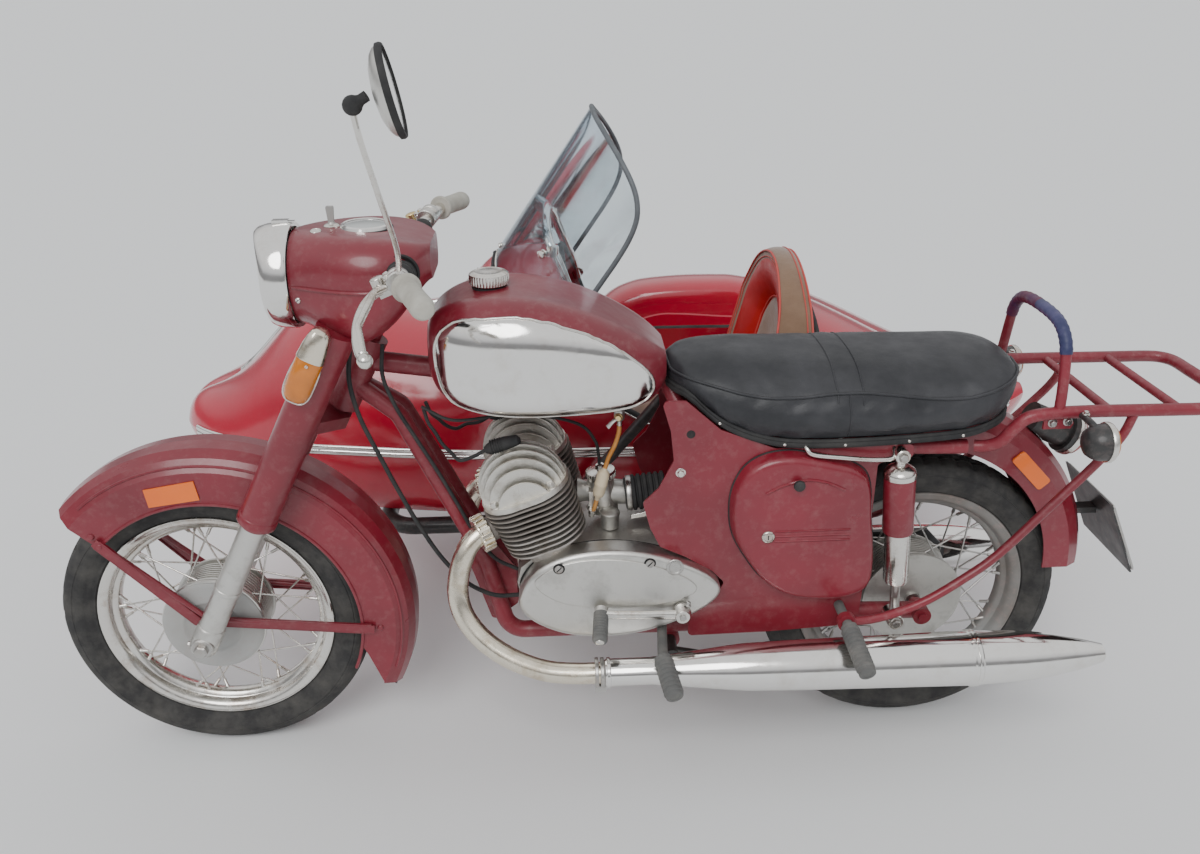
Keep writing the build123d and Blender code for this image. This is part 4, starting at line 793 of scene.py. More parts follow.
# Fork legs: wiper rings, axle clamps and nuts.
kit = Kit("fork_leg_details", "fork", [ALLOY, STEEL, RED], "alloy", bevel=0.8, sharp=35)
for side in (-1, 1):
    p = Vector(down_fork(375, 55, side * 99))
    kit.lathe(p - down * 14, down, [(33.2, 0), (35, 3), (35, 15), (33, 18), (26, 19), (24, 26), (23.2, 26)], 40,
        2)
    kit.lathe(p + down * 150, down, [(23.2, 0), (24.6, 2), (24.6, 8), (23.2, 10)], 36, 0)
    q = Vector(down_fork(652, 55, side * 99))
    kit.lathe(q - down * 36, down, [(23.2, 0), (25.5, 4), (26, 40), (25.5, 52), (22, 58), (0, 60)], 36, 0)
    kit.bolt((FRONT_X, side * 126, AXLE_Z), (0, side, 0), 13, 11, 1)
    kit.lathe((FRONT_X, side * 104, AXLE_Z), (0, side, 0), [(19, 0), (20, 2), (20, 19), (18, 22), (9, 22)], 32,
        0)
    kit.bolt((FRONT_X - 27, side * 99, AXLE_Z - 6), (-1, 0, 0), 6, 6, 1)
kit.make()

# Tank: bright side panels with their edge beads, knurled cap, fuel tap, hose and filter.
tank_tree = mesh_tree(nodes["fuel_tank"])


def tank_point(x, angle, side, axis_z=792):
    # meets the tank's side along a line from its tunnel at this angle above level
    d = V(0, side * math.cos(angle), math.sin(angle))
    o = V(x, 0, axis_z) + d * 400
    hit = tank_tree.ray_cast(o, -d)
    if hit[0] is None:
        hit = tank_tree.find_nearest(V(x, 0, axis_z) + d * 60)
    n = hit[1]
    return hit[0], (n if n.dot(d) > 0 else -n)


PANEL = [(-868, 806), (-868, 838), (-855, 868), (-825, 888), (-776, 894), (-730, 895), (-680, 886), (-626, 867),
    (-584, 846), (-544, 817), (-514, 784), (-506, 762), (-511, 745), (-526, 734), (-560, 727), (-640, 724),
    (-720, 725), (-800, 731), (-838, 742), (-858, 768)]


def panel_outline(side):
    pts = smooth_line([V(x, 0, z) for x, z in PANEL + PANEL[:1]], 5)[:-1]
    out = []
    for p in pts:
        # the outline is given as seen from the side, so its angle is found on the tank
        best = None
        for k in range(121):
            a = math.radians(-50 + k)
            q, n = tank_point(p.x, a, side)
            d = abs(q.z - p.z)
            if best is None or d < best[0]:
                best = (d, a)
        out.append((p.x, best[1]))
    return out


for side, tag in ((-1, "left"), (1, "right")):
    out = panel_outline(side)
    mx, ma = -700, math.radians(8)
    kit = Kit("tank_panel_" + tag, "chassis", [CHROME, CHROME_WORN], "chrome", sharp=50)
    rows = []
    rings = 16
    for i in range(rings + 1):
        k = i / rings
        row = []
        for x, a in out:
            p, n = tank_point(mx + (x - mx) * k, ma + (a - ma) * k, side)
            row.append(p + n * (1.1 if k < 1 else 0.2))
        rows.append(row)
    kit.grid(rows, 0, True, False)
    bead = []
    for x, a in out:
        p, n = tank_point(x, a, side)
        bead.append(p + n * 0.7)
    kit.tube(bead, 2.3, 8, 1, curve=0, closed=True)
    kit.make()

kit = Kit("tank_cap_knurled", "chassis", [CHROME_WORN, RUBBER], "chrome", sharp=30)
base, _ = top_point(tank_tree, -778, 0)
z0 = base.z - 2
prof = [(25, 0), (25, 5), (31, 6), (33.2, 8), (34, 10), (34, 22), (33, 24.5), (30, 26.5), (24, 28.5),
    (22, 27.8), (12, 29.6), (0, 30.2)]
rows = []
for r, s in prof[:-1]:
    row = []
    for k in range(168):
        a = 2 * math.pi * k / 168
        cut = (0, 0.9, 1.3, 0.9)[k % 4] if 9 < s < 23 else 0
        row.append(V(-778 + (r - cut) * math.cos(a), (r - cut) * math.sin(a), z0 + s))
    rows.append(row)
kit.grid(rows, 0, True, True)
kit.lathe((-778, 0, z0 - 1), (0, 0, 1), [(28, 0), (29.5, 1.5), (29.5, 4.5), (27, 5.5)], 40, 1)
cap = kit.make()
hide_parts("tank_cap")

kit = Kit("fuel_tap", "chassis", [ALLOY, BRASS, CHROME_WORN], "alloy", bevel=0.5, sharp=35)
tap = V(-562, -44, 0)
zt = tank_tree.ray_cast(V(tap.x, tap.y, 600), V(0, 0, 1))[0].z
kit.lathe((tap.x, tap.y, zt + 1), (0, 0, -1), [(12, 0), (12, 4), (9, 5), (9, 7)], 24, 0)
kit.lathe((tap.x, tap.y, zt - 6), (0, 0, -1), [(10.4, 0), (10.4, 8.5), (8, 10), (8, 13)], 6, 2)
kit.lathe((tap.x, tap.y, zt - 18), (0, 0, -1), [(8.5, 0), (9.5, 2), (9.5, 18), (7, 21), (5, 22), (4, 28),
    (4.8, 29.5), (3.6, 33)], 24, 0)
kit.lathe((tap.x, tap.y, zt - 29), (-0.2, -1, 0), [(7.5, 5), (7.5, 12), (6, 13), (5, 17), (0, 17)], 20, 1)
kit.tube([(tap.x - 3, tap.y - 13, zt - 29), (tap.x - 12, tap.y - 16, zt - 34), (tap.x - 22, tap.y - 17,
    zt - 45)], [3.6, 3.6, 3.6, 3.8, 4, 4.4], 8, 0, curve=3, flat=0.5)
kit.make()

kit = Kit("fuel_line", "chassis", [AMBER_HOSE, CREAM, CHROME_WORN], "black_rubber", sharp=38)
a, b = V(-589, -44, 583), V(-604, -44, 522)
w = (b - a).normalized()
kit.tube([(tap.x, tap.y, zt - 44), (tap.x - 1, tap.y, zt - 62), (-570, -44, 632), (-582, -44, 606),
    tuple(a + w * 4)], 4.2, 10, 0)
kit.lathe(a, w, [(4.4, -4), (5, 0), (9.5, 4), (11.2, 8), (11.2, 26), (11.8, 27), (11.8, 31), (11.2, 32),
    (11.2, 46), (9.5, 52), (5, 57), (4.4, 62)], 28, 1)
kit.tube([tuple(b - w * 3), (-608, -44, 508), (-612, -42, 497)], 4.2, 10, 0)
kit.lathe((-612.5, -42, 500), (-0.2, 0, -1), [(4.5, -2), (7, -1), (7, 7), (5, 8), (5, 12)], 20, 2)
kit.make()
# Dual seat: one padded piece with its piping, cross seams and edge strip.
PIPING = [(-481, 6, 786), (-479, 28, 781), (-472, 48, 773), (-448, 86, 772), (-398, 114, 764), (-355, 128, 756),
    (-312, 136, 752), (-259, 139, 753), (-214, 138, 757), (-161, 139, 758), (-108, 142, 753), (-45, 146, 746),
    (0, 146, 745), (41, 142, 749), (82, 128, 758), (114, 97, 766), (128, 60, 768), (134, 20, 768)]
HEM = [(-482, 10, 742), (-476, 30, 742), (-466, 56, 741), (-447, 84, 739), (-416, 106, 714), (-382, 117, 692),
    (-332, 123, 672), (-273, 126, 661), (-183, 127, 659), (-73, 126, 662), (9, 124, 667), (53, 116, 672),
    (87, 100, 679), (108, 78, 684), (120, 48, 687), (124, 16, 688)]


def resample(points, count):
    pts = smooth_line(points, 12)
    run = [0]
    for a, b in zip(pts, pts[1:]):
        run.append(run[-1] + (b - a).length)
    out, i = [], 0
    for k in range(count):
        want = run[-1] * k / (count - 1)
        while i < len(run) - 2 and run[i + 1] < want:
            i += 1
        t = (want - run[i]) / max(run[i + 1] - run[i], 1e-9)
        out.append(pts[i].lerp(pts[i + 1], min(1, t)))
    return out


def between(line, x):
    # straight runs between the listed places
    for (a, p), (b, q) in zip(line, line[1:]):
        if x <= b:
            return p + (q - p) * max(0, (x - a) / (b - a))
    return line[-1][1]


def crest(x):
    # height of the seat's top along its middle
    line = [(-490, 778), (-478, 791), (-455, 800), (-417, 802), (-360, 799), (-311, 795), (-204, 792),
        (-130, 790), (-61, 790), (47, 788), (90, 784), (120, 777), (140, 768)]
    return between(line, x)


count = 72
pipe_line, hem_line = resample(PIPING, count), resample(HEM, count)
# the two cross seams, in the top's middle
SEAMS = (-206, -163)
rows = []
for p, h in zip(pipe_line, hem_line):
    row = []
    m = V(p.x + (4 if p.x < -440 else 0) - (2 if p.x > 90 else 0), 0, crest(p.x))
    half = []
    for j in range(9):
        t = j / 8
        q = m.lerp(V(p.x, p.y, p.z), t)
        # crowned between the middle and the piping
        q.z = m.z + (p.z - m.z) * (t ** 2.4)
        for sx in SEAMS:
            q.z -= 3.2 * math.exp(-((q.x - sx) / 7) ** 2) * (1 - t ** 6)
        if -206 < q.x < -163:
            q.z += 1.6 * (1 - t ** 3)
        half.append(q)
    for j in range(1, 9):
        t = j / 8
        q = Vector(p).lerp(Vector(h), t)
        out = 7 * math.sin(math.pi * min(1, t * 1.06)) * min(1, (p.y + 10) / 90)
        n = V(0, 1, 0) if -420 < q.x < 60 else V(-0.5 if q.x < 0 else 0.5, 0.85, 0).normalized()
        half.append(q + n * out)
    rows.append(half)
kit = Kit("seat_cushion", "chassis", [VINYL], "seat_vinyl", sharp=75)
full = []
for half in rows:
    left = [V(q.x, -q.y, q.z) for q in half]
    full.append(left[::-1] + half[1:])
# top and sides as one skin, closed below
kit.grid(full, 0, False)
under = []
for row in full:
    a, b = row[0], row[-1]
    under.append([b, b + V(0, -14, 9), b + V(0, -32, 12), a + V(0, 32, 12), a + V(0, 14, 9), a])
kit.grid(under, 0, False)
for end in (0, -1):
    loop = full[end] + under[end][1:-1]
    kit.add(loop, [tuple(range(len(loop)))])
seat_piece = kit.make()


def soften(obj, pressure, cap, frames=20, voxel=0.006):
    # cloth under light pressure that moves the skin by no more than cap, then a smoothing
    mesh = obj.data
    repair(mesh, 0.0004)
    bpy.context.view_layer.objects.active = obj
    obj.select_set(True)
    mod = obj.modifiers.new("remesh", "REMESH")
    mod.mode = "VOXEL"
    mod.voxel_size = voxel
    flat = applied(obj)
    obj.modifiers.remove(mod)
    obj.data = flat
    flat.materials.clear()
    for m in mesh.materials:
        flat.materials.append(m)
    start = [v.co.copy() for v in flat.vertices]
    cloth = obj.modifiers.new("cloth", "CLOTH")
    s = cloth.settings
    s.quality = 4
    s.mass = 0.35
    s.tension_stiffness = 18
    s.compression_stiffness = 18
    s.bending_stiffness = 3
    s.use_pressure = True
    s.uniform_pressure_force = pressure
    s.effector_weights.gravity = 0
    cloth.collision_settings.use_collision = False
    scene = bpy.context.scene
    for f in range(1, frames + 1):
        scene.frame_set(f)
    ends = [v.co.copy() for v in applied(obj).vertices]
    obj.modifiers.remove(cloth)
    scene.frame_set(1)
    for v, a, b in zip(flat.vertices, start, ends):
        d = b - a
        if d.length > cap:
            d *= cap / d.length
        v.co = a + d
    smooth = obj.modifiers.new("smooth", "CORRECTIVE_SMOOTH")
    smooth.factor = 0.5
    smooth.iterations = 4
    smooth.use_only_smooth = True
    done = applied(obj)
    obj.modifiers.remove(smooth)
    obj.data = done
    done.polygons.foreach_set("use_smooth", [True] * len(done.polygons))
    sub = obj.modifiers.new("subdivide", "SUBSURF")
    sub.levels = sub.render_levels = 1
    obj.select_set(False)


soften(seat_piece, 2.2, 0.006)
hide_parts("seat")


def onto(tree, p, lift=0):
    q, n, _, _ = tree.find_nearest(Vector(p))
    return q + n * lift


cushion_tree = mesh_tree(seat_piece)
kit = Kit("seat_piping", "chassis", [VINYL, CHROME_WORN, RUBBER], "seat_vinyl", sharp=60)
loop = [Vector(p) for p in smooth_line(PIPING, 5)]
for side in (-1, 1):
    line = [onto(cushion_tree, (p.x, side * p.y, p.z), 1.4) for p in loop]
    kit.tube(line, 2.7, 8, 0, curve=0)
    # edge strip: folded trim along the hem, and the pan's lip below it
    hem = [V(p.x, side * p.y, p.z) for p in smooth_line(HEM, 5)]
    rows = []
    for p in hem:
        out = V(0, side, 0) if -440 < p.x < 70 else V(-0.6 if p.x < 0 else 0.6, side * 0.8, 0).normalized()
        up = V(0, 0, 1)
        rows.append([p + out * 1 + up * 11, p + out * 3.4 + up * 10, p + out * 4.6 + up * 6, p + out * 3
            + up * 4.6, p + out * 4.6 + up * 3, p + out * 4.8 - up * 3.5, p + out * 3 - up * 5.5,
            p - out * 3 - up * 4, p - out * 3 + up * 9])
    kit.grid(rows, 2, True, True)
    for x in (-395, -290, -185, -80, 25):
        near = min(hem, key=lambda q: abs(q.x - x))
        kit.lathe(near + V(0, side * 4.4, 0), (0, side, 0), [(3.2, 0), (3, 1.2), (1.6, 2), (0, 2.2)], 12, 1)
for sx in SEAMS:
    line = []
    for k in range(41):
        y = -140 + 280 * k / 40
        q, _ = top_point(cushion_tree, sx + 3 * (y / 140) ** 2, y * 0.985)
        line.append(q + V(0, 0, 0.2))
    kit.tube(line, 1.5, 6, 0, curve=0)
for side in (-1, 1):
    line = []
    for k in range(14):
        z = 752 - 84 * k / 13
        line.append(side_point(cushion_tree, -184 + k * 0.4, z, side)[0] + V(0, side * 0.3, 0))
    kit.tube(line, 1.3, 6, 0, curve=0)
kit.make()
# Sidecar: windscreen with its edge trim, grab rail, cockpit edge and strips.
deck_tree = mesh_tree(nodes["sidecar_deck"])
tub_tree = mesh_tree(nodes["sidecar_hull"])
SCREEN_R = 266
SCREEN_WAY = V(0.575, 0, 0.818)
SCREEN_EDGE = [(0, 688), (12, 682), (21.4, 670), (39.3, 633), (52.7, 592), (63.7, 549), (71.3, 511), (77, 471),
    (80, 436), (81.8, 393), (82.4, 345)]


def screen_point(turn, s, inward=0):
    a = math.radians(180 + turn)
    r = SCREEN_R - inward
    return V(-973 + SCREEN_R + r * math.cos(a), HULL_Y + r * math.sin(a), 560) + SCREEN_WAY * s


def screen_top(turn):
    return between(SCREEN_EDGE, abs(turn))


def screen_foot(turn):
    # where the sheet meets the deck
    o = screen_point(turn, 500)
    hit = deck_tree.ray_cast(o, -SCREEN_WAY.normalized())
    return 500 - (hit[3] / SCREEN_WAY.length if hit[0] else 300)


turns = [82.4 * math.sin(math.pi / 2 * k / 30) for k in range(-30, 31)]
kit = Kit("windscreen_sheet", "chassis", CLEAR, "clear", sharp=60)
for inward, flip in ((0, 1), (3, -1)):
    rows = []
    for turn in turns[::flip]:
        lo, hi = screen_foot(turn) - 2, screen_top(turn)
        rows.append([screen_point(turn, lo + (hi - lo) * k / 16, inward) for k in range(17)])
    kit.grid(rows, 0, False)
screen = kit.make()
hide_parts("windscreen")

kit = Kit("windscreen_trim", "chassis", [SCREEN_TRIM, CHROME_WORN, RUBBER], "black_rubber", bevel=0.5, sharp=40)
edge = []
for side in (-1, 1):
    part = [screen_point(side * 82.4, screen_foot(side * 82.4) + (345 - screen_foot(side * 82.4)) * k / 12,
        1.5) for k in range(12)]
    part += [screen_point(side * t, s, 1.5) for t, s in reversed(SCREEN_EDGE[1:])]
    edge.append(part)
line = edge[0] + [screen_point(0, 688, 1.5)] + edge[1][::-1]
kit.tube(line, 5.6, 10, 0, curve=3)
foot = [screen_point(t, screen_foot(t) + 3, -1) for t in turns]
kit.tube(foot, 5, 8, 2, curve=0)
foot = [screen_point(t, screen_foot(t) + 10, 1.5) for t in turns]
kit.tube(foot, 3.4, 8, 1, curve=0)
for turn in (-66, -38, 0, 38, 66):
    s = screen_foot(turn) + 24
    p = screen_point(turn, s)
    a = math.radians(180 + turn)
    n = V(math.cos(a), math.sin(a), -0.4).normalized()
    kit.lathe(p, n, [(7.5, -1), (7.5, 2.2), (5, 4.2), (0, 5)], 20, 1)
    kit.lathe(p - n * 3, -n, [(7.5, 0), (7.5, 2), (4.5, 3), (4.5, 8), (0, 9)], 16, 1)
kit.make()

# grab rail behind the screen, with the braces to the sheet
kit = Kit("grab_rail_tube", "chassis", [CHROME, CHROME_WORN], "chrome", sharp=40)
feet = []
for side in (-1, 1):
    lo, n = side_point(deck_tree, -616, 690, side, HULL_OUT, HULL_Y)
    feet.append((lo, n))
a, b = feet[0][0], feet[1][0]
path = [a + V(6, 4, -14), a + V(-8, 6, 40), (-640, 452, 775), (-664, 460, 838), (-677, 474, 866),
    (-681, 500, 878), (-683, 560, 884), (-683, HULL_Y, 886)]
path = [Vector(p) for p in path]
full_path = path + [V(p.x, 2 * HULL_Y - p.y, p.z) for p in reversed(path[:-1])]
kit.tube(full_path, 11, 16, 0, curve=5)
for side, (p, n) in zip((-1, 1), feet):
    kit.lathe(p - n * 1, n, [(21, 0), (21, 2.5), (18, 4), (13, 5), (12, 10), (11, 11)], 32, 1)
    y = HULL_Y + side * 186
    turn = -math.degrees(math.asin(side * 186 / SCREEN_R))
    q = screen_point(turn, 352, 1.5)
    kit.tube([(-669, y, 851), tuple(q)], 4.6, 10, 0, curve=0)
    kit.lathe(q + V(0.9, side * -0.3, 0.2) * 6, V(-0.85, side * 0.7, -0.3), [(0, 0), (9, 1), (9, 4), (5, 5),
        (5, 9), (9.5, 10), (9.5, 13), (4, 15), (0, 15.5)], 20, 1)
    kit.lathe((-671, y, 853), (0.1, 0, 1), [(0, -12), (12.6, -11), (13.4, -6), (13.4, 6), (12.6, 11), (0, 12)],
        24, 1)
rail = kit.make()
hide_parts("grab_rail")


# cockpit edge
def ridge(x, step=-2):
    # the deck's crest at x, or the nearest place beyond the opening
    for k in range(40):
        hit = deck_tree.ray_cast(V(x + step * k, HULL_Y + 0.5, 1500), V(0, 0, -1))
        if hit[0] and hit[0].z > belt_top(x):
            return hit[0]
    return V(x, HULL_Y, 700)


def belt_top(x):
    return 445 if x > 0 or x < -1400 else 560


OPENING = [(-650, 800), (-600, 640), (-540, 540), (-480, 506), (-220, 506), (-112, 512), (-86, 560), (-84, 720)]
samples = []
for (xa, za), (xb, zb) in zip(OPENING, OPENING[1:]):
    steps = max(2, int(math.hypot(xb - xa, zb - za) / 8))
    samples += [(xa + (xb - xa) * k / steps, za + (zb - za) * k / steps) for k in range(steps)]
kit = Kit("cockpit_edge", "chassis", [RUBBER, CHROME], "black_rubber", sharp=45)
for side in (-1, 1):
    line = []
    for x, z in samples:
        hit = deck_tree.ray_cast(V(x, HULL_Y + side * HULL_OUT, z - 2.5), V(0, -side, 0))
        if hit[0] and (hit[0].y - HULL_Y) * side > 4:
            line.append((hit[0], hit[1] if hit[1].y * side > 0 else -hit[1]))
    outer = [p + n * 1.5 for p, n in line]
    outer = outer[:1] + [outer[i - 1] * 0.25 + outer[i] * 0.5 + outer[i + 1] * 0.25 for i in range(1,
        len(outer) - 1)] + outer[-1:]
    first, last = outer[0], outer[-1]
    front = V(first.x - 3, HULL_Y, ridge(first.x - 4).z)
    back = V(last.x + 2, HULL_Y, ridge(last.x + 4, 2).z)
    pts = [front] + outer + [back]
    kit.tube(pts, 7.5, 10, 0, curve=0)
    kit.tube([p + V(0, side * 7, -5.5) for p in outer[6:-6]], 2.4, 8, 1, curve=0)
kit.make()

# double-bead strip round the belt and the strip along the bonnet's ridge
kit = Kit("bright_strips", "chassis", [CHROME, CHROME_WORN], "chrome", sharp=38)
for side in (-1, 1):
    rows = []
    for k in range(97):
        x = -1512 + 1930 * k / 96
        p, n = side_point(deck_tree, x, 434, side, HULL_OUT, HULL_Y)
        q, m = side_point(tub_tree, x, 424, side, HULL_OUT, HULL_Y)
        n = V(n.x, n.y, 0).normalized()
        q.z, p.z = 0, 0
        base = p if (p.y - q.y) * side > 0 else q
        row = []
        for h, o in ((440.5, 0), (440, 2.2), (438, 4), (434.5, 4.8), (431, 4), (429.4, 2.6), (428, 2.6),
                (426.4, 4), (423, 4.8), (419.5, 4), (417.2, 2.2), (416.6, 0)):
            row.append(V(base.x, base.y, h) + n * o)
        rows.append(row)
    kit.grid(rows, 0, True, True)
    for k in range(9):
        x = -1420 + 215 * k
        p, n = side_point(deck_tree, x, 434, side, HULL_OUT, HULL_Y)
        p.z = 428.7
        n = V(n.x, n.y, 0).normalized()
        kit.lathe(p + n * 2.4, n, [(4.2, 0), (4, 1.2), (2.2, 2.2), (0, 2.5)], 14, 1)
rows = []
for k in range(61):
    x = -1425 + 580 * k / 60
    p = ridge(x)
    wide = 15 * min(1, (k + 0.6) / 6)
    row = []
    for y, o in ((-1, 0), (-0.97, 2.4), (-0.6, 4.4), (-0.28, 5.2), (-0.2, 7.6), (0, 8.6), (0.2, 7.6),
            (0.28, 5.2), (0.6, 4.4), (0.97, 2.4), (1, 0)):
        q, _ = top_point(deck_tree, x, HULL_Y + y * wide)
        row.append(V(x, HULL_Y + y * wide, q.z - 0.6 + o))
    rows.append(row)
kit.grid(rows, 0, True, True)
kit.make()
# Sidecar backrest: arched pad with a hollowed front, contrast border and piped edges.
# half its width, and the heights of its feet, of the arch's spring, of its middle and of its top
PAD_HALF, PAD_FOOT, PAD_SPRING, PAD_Z, PAD_TOP = 217, 424, 640, 560, 787


def arch(k, inset=0):
    # outline of the backrest from its near foot over the top to its far foot; k from 0 to 1
    half, top = PAD_HALF - inset, PAD_TOP - inset
    rise = top - PAD_SPRING
    leg = PAD_SPRING - PAD_FOOT
    sweep = (half * half + rise * rise) / (2 * rise)
    cz = top - sweep
    a0 = math.asin(half / sweep)
    bow = sweep * 2 * a0
    s = k * (2 * leg + bow)
    if s < leg:
        return -half, PAD_FOOT + s
    if s > leg + bow:
        return half, PAD_SPRING - (s - leg - bow)
    a = -a0 + (s - leg) / sweep
    return sweep * math.sin(a), cz + sweep * math.cos(a)


def front_x(z):
    return between([(415, -250), (477, -238), (560, -217), (611, -203), (702, -183), (750, -176), (790, -168)],
        z)


def back_x(z):
    return -98 - max(0, z - 700) * 0.06


kit = Kit("backrest_pad", "backrest", [SUEDE, RED_VINYL], "seat_cloth", sharp=80)
stations = 64
NOTCH = 0.51  # where the border's seam runs, from the front's middle to its edge
# rings from the middle of the front, out over the edge, round the gusset to the middle of the back
rings = []
for name, t in [("f", 0), ("f", 0.12), ("f", 0.25), ("f", 0.38), ("f", 0.46), ("f", 0.5), ("r", 0.52),
        ("r", 0.6), ("r", 0.7), ("r", 0.8), ("r", 0.88), ("r", 0.915), ("e", 0.93), ("e", 0.97), ("e", 1)]:
    ring = []
    for i in range(stations):
        y, z = arch(i / (stations - 1))
        py, pz = y * t, PAD_Z + (z - PAD_Z) * t
        dish = 62 * (1 - t ** 2.3) * (1 - 0.45 * max(0, (pz - 640) / 150))
        roll = 9 * math.sin(math.pi * min(1, max(0, (t - 0.52) / 0.4))) if 0.5 < t < 0.93 else 0
        notch = 3 if abs(t - NOTCH) < 0.02 or abs(t - 0.92) < 0.012 else 0
        x = front_x(pz) + 5 + dish - roll + notch
        if t > 0.96:
            x += 5
        ring.append(V(x, HULL_Y + py, pz))
    rings.append((ring, 1 if name == "r" else 0))
for g, bulge in ((0.12, 3), (0.3, 6), (0.5, 7), (0.7, 6), (0.88, 3)):
    ring = []
    for i in range(stations):
        y, z = arch(i / (stations - 1))
        y2, z2 = arch(i / (stations - 1), -bulge)
        x = front_x(z) + 8 + (back_x(z) - front_x(z) - 12) * g
        ring.append(V(x, HULL_Y + y2, max(z2, PAD_FOOT - bulge)))
    rings.append((ring, 0))
for t in (1, 0.97, 0.9, 0.75, 0.5, 0.25, 0):
    ring = []
    for i in range(stations):
        y, z = arch(i / (stations - 1))
        py, pz = y * t, PAD_Z + (z - PAD_Z) * t
        x = back_x(pz) - (6 if t == 1 else 1.5 if t > 0.95 else 0) + 4 * (1 - t * t)
        ring.append(V(x, HULL_Y + py, pz))
    rings.append((ring, 0))
for (a, _), (b, mat) in zip(rings, rings[1:]):
    kit.grid([a, b], mat, False, False)
    # the foot, across from the near leg to the far one
    kit.add([a[0], a[-1], b[-1], b[0]], [(0, 1, 2, 3)], mat)
pad = kit.make()
repair(pad.data, 0.0003, 0.0002)
mod = pad.modifiers.new("subdivide", "SUBSURF")
mod.levels = mod.render_levels = 1
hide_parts("backrest")

kit = Kit("backrest_piping", "backrest", [RED_PIPING, STEEL], "seat_cloth", sharp=60)
pad_tree = mesh_tree(pad)
n = 60
for x_of, inset, lift in ((lambda z: front_x(z) + 7, 1, 1.6), (lambda z: front_x(z) + 0, 15, 0.8),
        (lambda z: back_x(z) - 5, 1, 1.6), (lambda z: back_x(z) - 17, -3, 1)):
    line = []
    for i in range(n + 1):
        y, z = arch(i / n, inset)
        line.append(onto(pad_tree, (x_of(z), HULL_Y + y, z), lift))
    kit.tube(line, 2.6 if lift > 1.5 else 1.5, 8, 0, curve=0)
line = []
for i in range(n + 1):
    y, z = arch(i / n)
    low_z = PAD_Z + (z - PAD_Z) * NOTCH
    line.append(onto(pad_tree, (front_x(low_z) + 48, HULL_Y + y * NOTCH, low_z), 0.8))
kit.tube(line, 2, 8, 0, curve=0)
kit.lathe((-252, HULL_Y - 233.5, 432), (0, 1, 0), [(0, 0), (6.6, 0.4), (6.9, 1.4), (6.9, 465.6), (6.6, 466.6),
    (0, 467)], 24, 1)
for side in (-1, 1):
    kit.brick((-240, HULL_Y + side * 214, 432), (30, 5, 24), 1)
kit.make()

# Sidecar seat cushion.
kit = Kit("sidecar_cushion", "chassis", [SUEDE], "seat_cloth", sharp=75)
rows = []
for i in range(25):
    u = -1 + 2 * i / 24
    row = []
    for j in range(25):
        v = -1 + 2 * j / 24
        x = CUSHION_X + 101 * u
        y = HULL_Y + 199 * v
        # crowned top, sides pulled in between the corners
        dome = (1 - abs(u) ** 4) * (1 - abs(v) ** 4)
        channel = 0
        for c0 in (-0.5, 0, 0.5):
            channel += 6 * math.exp(-((v - c0) / 0.035) ** 2)
        row.append(V(x, y, 352 + 24 * dome - channel * (1 - abs(u) ** 6)))
    rows.append(row)
kit.grid(rows, 0, False)
ring_top = rows[0] + [r[-1] for r in rows[1:]] + rows[-1][-2::-1] + [r[0] for r in rows[-2:0:-1]]
m = V(CUSHION_X, HULL_Y, 0)
levels = [ring_top]
for z, f in ((344, 1.012), (318, 1.02), (286, 1.018), (262, 1), (252, 0.985)):
    levels.append([V(m.x + (p.x - m.x) * f, m.y + (p.y - m.y) * f, z) for p in ring_top])
kit.grid(levels, 0, True, False)
base = levels[-1]
kit.add(base, [tuple(range(len(base)))])
cushion = kit.make()
soften(cushion, 2, 0.006, voxel=0.007)
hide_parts("sidecar_seat")
kit = Kit("sidecar_cushion_piping", "chassis", [RED_PIPING], "seat_cloth", sharp=60)
tree = mesh_tree(cushion)
for z in (350, 258):
    kit.tube([onto(tree, (p.x, p.y, z), 1) for p in ring_top + ring_top[:1]], 3, 8, 0, curve=0)
kit.make()
# Sidecar mudguard: long flat-topped shell with creased shoulders and a closed inner side.
crown = [(-540, 398), (-546, 450), (-546, 498), (-538, 532), (-505, 560), (-462, 579), (-412, 590), (-315, 597),
    (-215, 597), (-150, 592), (-62, 570), (32, 516), (98, 440), (130, 362), (136, 326)]
line = smooth_line([(x, 0, z) for x, z in crown], 6)
hub = V(SIDE_X, 0, AXLE_Z)
rows = []
for p in line:
    inward = (hub - p).normalized()
    reach = (hub - p).length
    # distance from the crown at which the outer lip and the inner panel end
    lip = max(34, reach - 240)
    panel = max(lip, (p.z - 385) / max(0.05, -inward.z)) if inward.z < -0.05 and p.z > 395 else lip
    row = []
    for y, d in [(-78, panel), (-78, panel * 0.72 + 16), (-78.5, 96), (-74.5, 92), (-75, 62), (-76, 38),
            (-70, 26), (-68, 21), (-58, 12.5), (-40, 5), (-20, 1.2), (0, 0), (20, 1.2), (40, 5), (58, 12.5),
            (68, 21), (70, 26), (76, 38), (77, 60)]:
        row.append(p + inward * min(d, panel) + V(0, SIDE_Y + y, 0))
    for y, d in [(78, lip), (81, lip + 2.5), (80, lip + 5), (76, lip + 4), (75, lip)]:
        row.append(p + inward * d + V(0, SIDE_Y + y, 0))
    for y, d in [(74, 60), (70, 36), (56, 16.5), (30, 6), (0, 3.4), (-30, 6), (-56, 16.5), (-70, 36),
            (-75, 60)]:
        row.append(p + inward * min(d, lip) + V(0, SIDE_Y + y, 0))
    row.append(p + inward * panel + V(0, SIDE_Y - 75, 0))
    rows.append(row)
kit = Kit("sidecar_mudguard_shell", "chassis", SIDE_RED, "sidecar_red", sharp=34)
kit.grid(rows, 0, True, True)
guard_shell = kit.make()
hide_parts("sidecar_mudguard")
